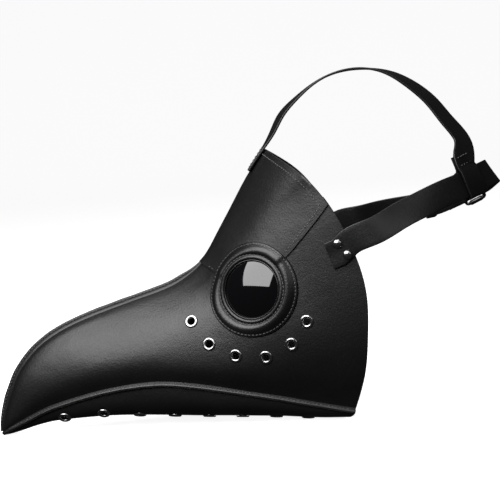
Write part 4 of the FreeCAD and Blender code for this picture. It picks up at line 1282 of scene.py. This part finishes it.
prong = joined([turnedShape(barAxes, eyeOutline, 36), tubeShape(armPath, armRadii, 14)])
makePiece("buckleProng", prong, [blackMetal], body="buckle_prong", replaces=["buckle_prong"])

# keeper
keeper = {"wall": 1.2, "length": 8.0, "gap": 0.4, "corner": 0.35}
keeperPoints = [rightPath[6], (rightPath[6] + rightPath[7]) * 0.5, rightPath[7]]
kp, kt, ka, ko = pathFrames(keeperPoints, strapUp)[1]
stack = 2 * strap["thickness"] + 0.25
keeperMiddle = kp - ko * ((stack - strap["thickness"]) / 2)
halfOut = stack / 2 + keeper["gap"] + keeper["wall"] / 2
halfUp = strap["width"] / 2 + keeper["gap"] + keeper["wall"] / 2
sleeve = softened([(halfOut, halfUp), (-halfOut, halfUp), (-halfOut, -halfUp), (halfOut, -halfUp)], 1.2, 5)
loop = []
for k, (x, y) in enumerate(sleeve):
    x0, y0 = sleeve[k - 1]
    x1, y1 = sleeve[(k + 1) % len(sleeve)]
    away = Vector((y1 - y0, -(x1 - x0), 0)).normalized()
    middle = keeperMiddle + ko * x + ka * y
    loop.append((middle, None, kt, (ko * -away.x + ka * -away.y)))
makePiece("strapKeeper", stripShape(loop, keeper["length"], keeper["wall"], closed=True, corner=keeper["corner"]),
          [strapLeather], body="strap_keeper", replaces=["strap_keeper"])
print("hardware")

# floor, light and camera
studio = {
    "floorColour": (0.93, 0.93, 0.93, 1), "floorGlow": 0.9, "world": 0.02,
    # each light: place, aim, size and power
    "keySoftbox": ((-0.42, -0.66, 0.80), (0.003, -0.055, 0.12), (1.15, 0.95), 20.0),
    "topSoftbox": ((0.1, 0.25, 1.4), (-0.05, 0, 0.1), (1.6, 0.6), 7.0),
    "frontSoftbox": ((0.9, -1.3, 0.9), (0.0, 0, 0.12), (0.7, 0.9), 2.0),
    "cameraPlace": (0.0060, -1.0929, 0.2684), "cameraAim": (0.0057, 0.0, 0.1435), "cameraRoll": 4.5, "lens": 93.2,
}
backdrop = []
for x in (-6.0, 6.0):
    for k in range(28):
        if k < 10:
            backdrop.append((x, -3.0 + 0.6 * k, 0.0))
        else:
            a = (k - 10) / 17 * math.pi / 2
            backdrop.append((x, 3.0 + 2.0 * math.sin(a), 2.0 - 2.0 * math.cos(a) + (3.0 if k == 27 else 0.0)))
floorMesh = bpy.data.meshes.new("studioFloor")
floorMesh.from_pydata(backdrop, [], gridFaces(2, 28))
floor = bpy.data.objects.new("studioFloor", floorMesh)
scene.collection.objects.link(floor)
palePaper = newMaterial("palePaper", Base_Color=studio["floorColour"], Roughness=0.9, Emission_Color=(1, 1, 1, 1),
                        Emission_Strength=studio["floorGlow"])[0]
floorMesh.materials.append(palePaper)
floorMesh.polygons.foreach_set("use_smooth", [True] * len(floorMesh.polygons))
floor.location.z = cadBox[0][2] - 0.0003
floor.visible_glossy = False
floor.visible_diffuse = False
world = bpy.data.worlds.new("studioWorld")
world.use_nodes = True
world.node_tree.nodes["Background"].inputs[0].default_value = (1, 1, 1, 1)
world.node_tree.nodes["Background"].inputs[1].default_value = studio["world"]
scene.world = world


for name in ("keySoftbox", "topSoftbox", "frontSoftbox"):
    where, aim, size, power = studio[name]
    light = bpy.data.lights.new(name, "AREA")
    light.shape = "RECTANGLE"
    light.size, light.size_y = size
    light.energy = power
    lamp = bpy.data.objects.new(name, light)
    lamp.location = where
    lamp.rotation_euler = (Vector(aim) - Vector(where)).to_track_quat("-Z", "Y").to_euler()
    scene.collection.objects.link(lamp)
camera = bpy.data.objects.new("camera", bpy.data.cameras.new("camera"))
scene.collection.objects.link(camera)
cameraSpot = Vector(studio["cameraPlace"])
look = (Vector(studio["cameraAim"]) - cameraSpot).normalized()
sideways = look.cross(Vector((0, 0, 1))).normalized()
roll = math.radians(studio["cameraRoll"])
upright = sideways.cross(look) * math.cos(roll) + sideways * math.sin(roll)
right = look.cross(upright).normalized()
camera.matrix_world = Matrix.Translation(cameraSpot) @ Matrix((right, upright, -look)).transposed().to_4x4()
camera.data.lens = studio["lens"]
camera.data.sensor_width = 36.0
camera.data.dof.use_dof = False
scene.camera = camera
scene.view_settings.view_transform = "Standard"

print("scene ready")
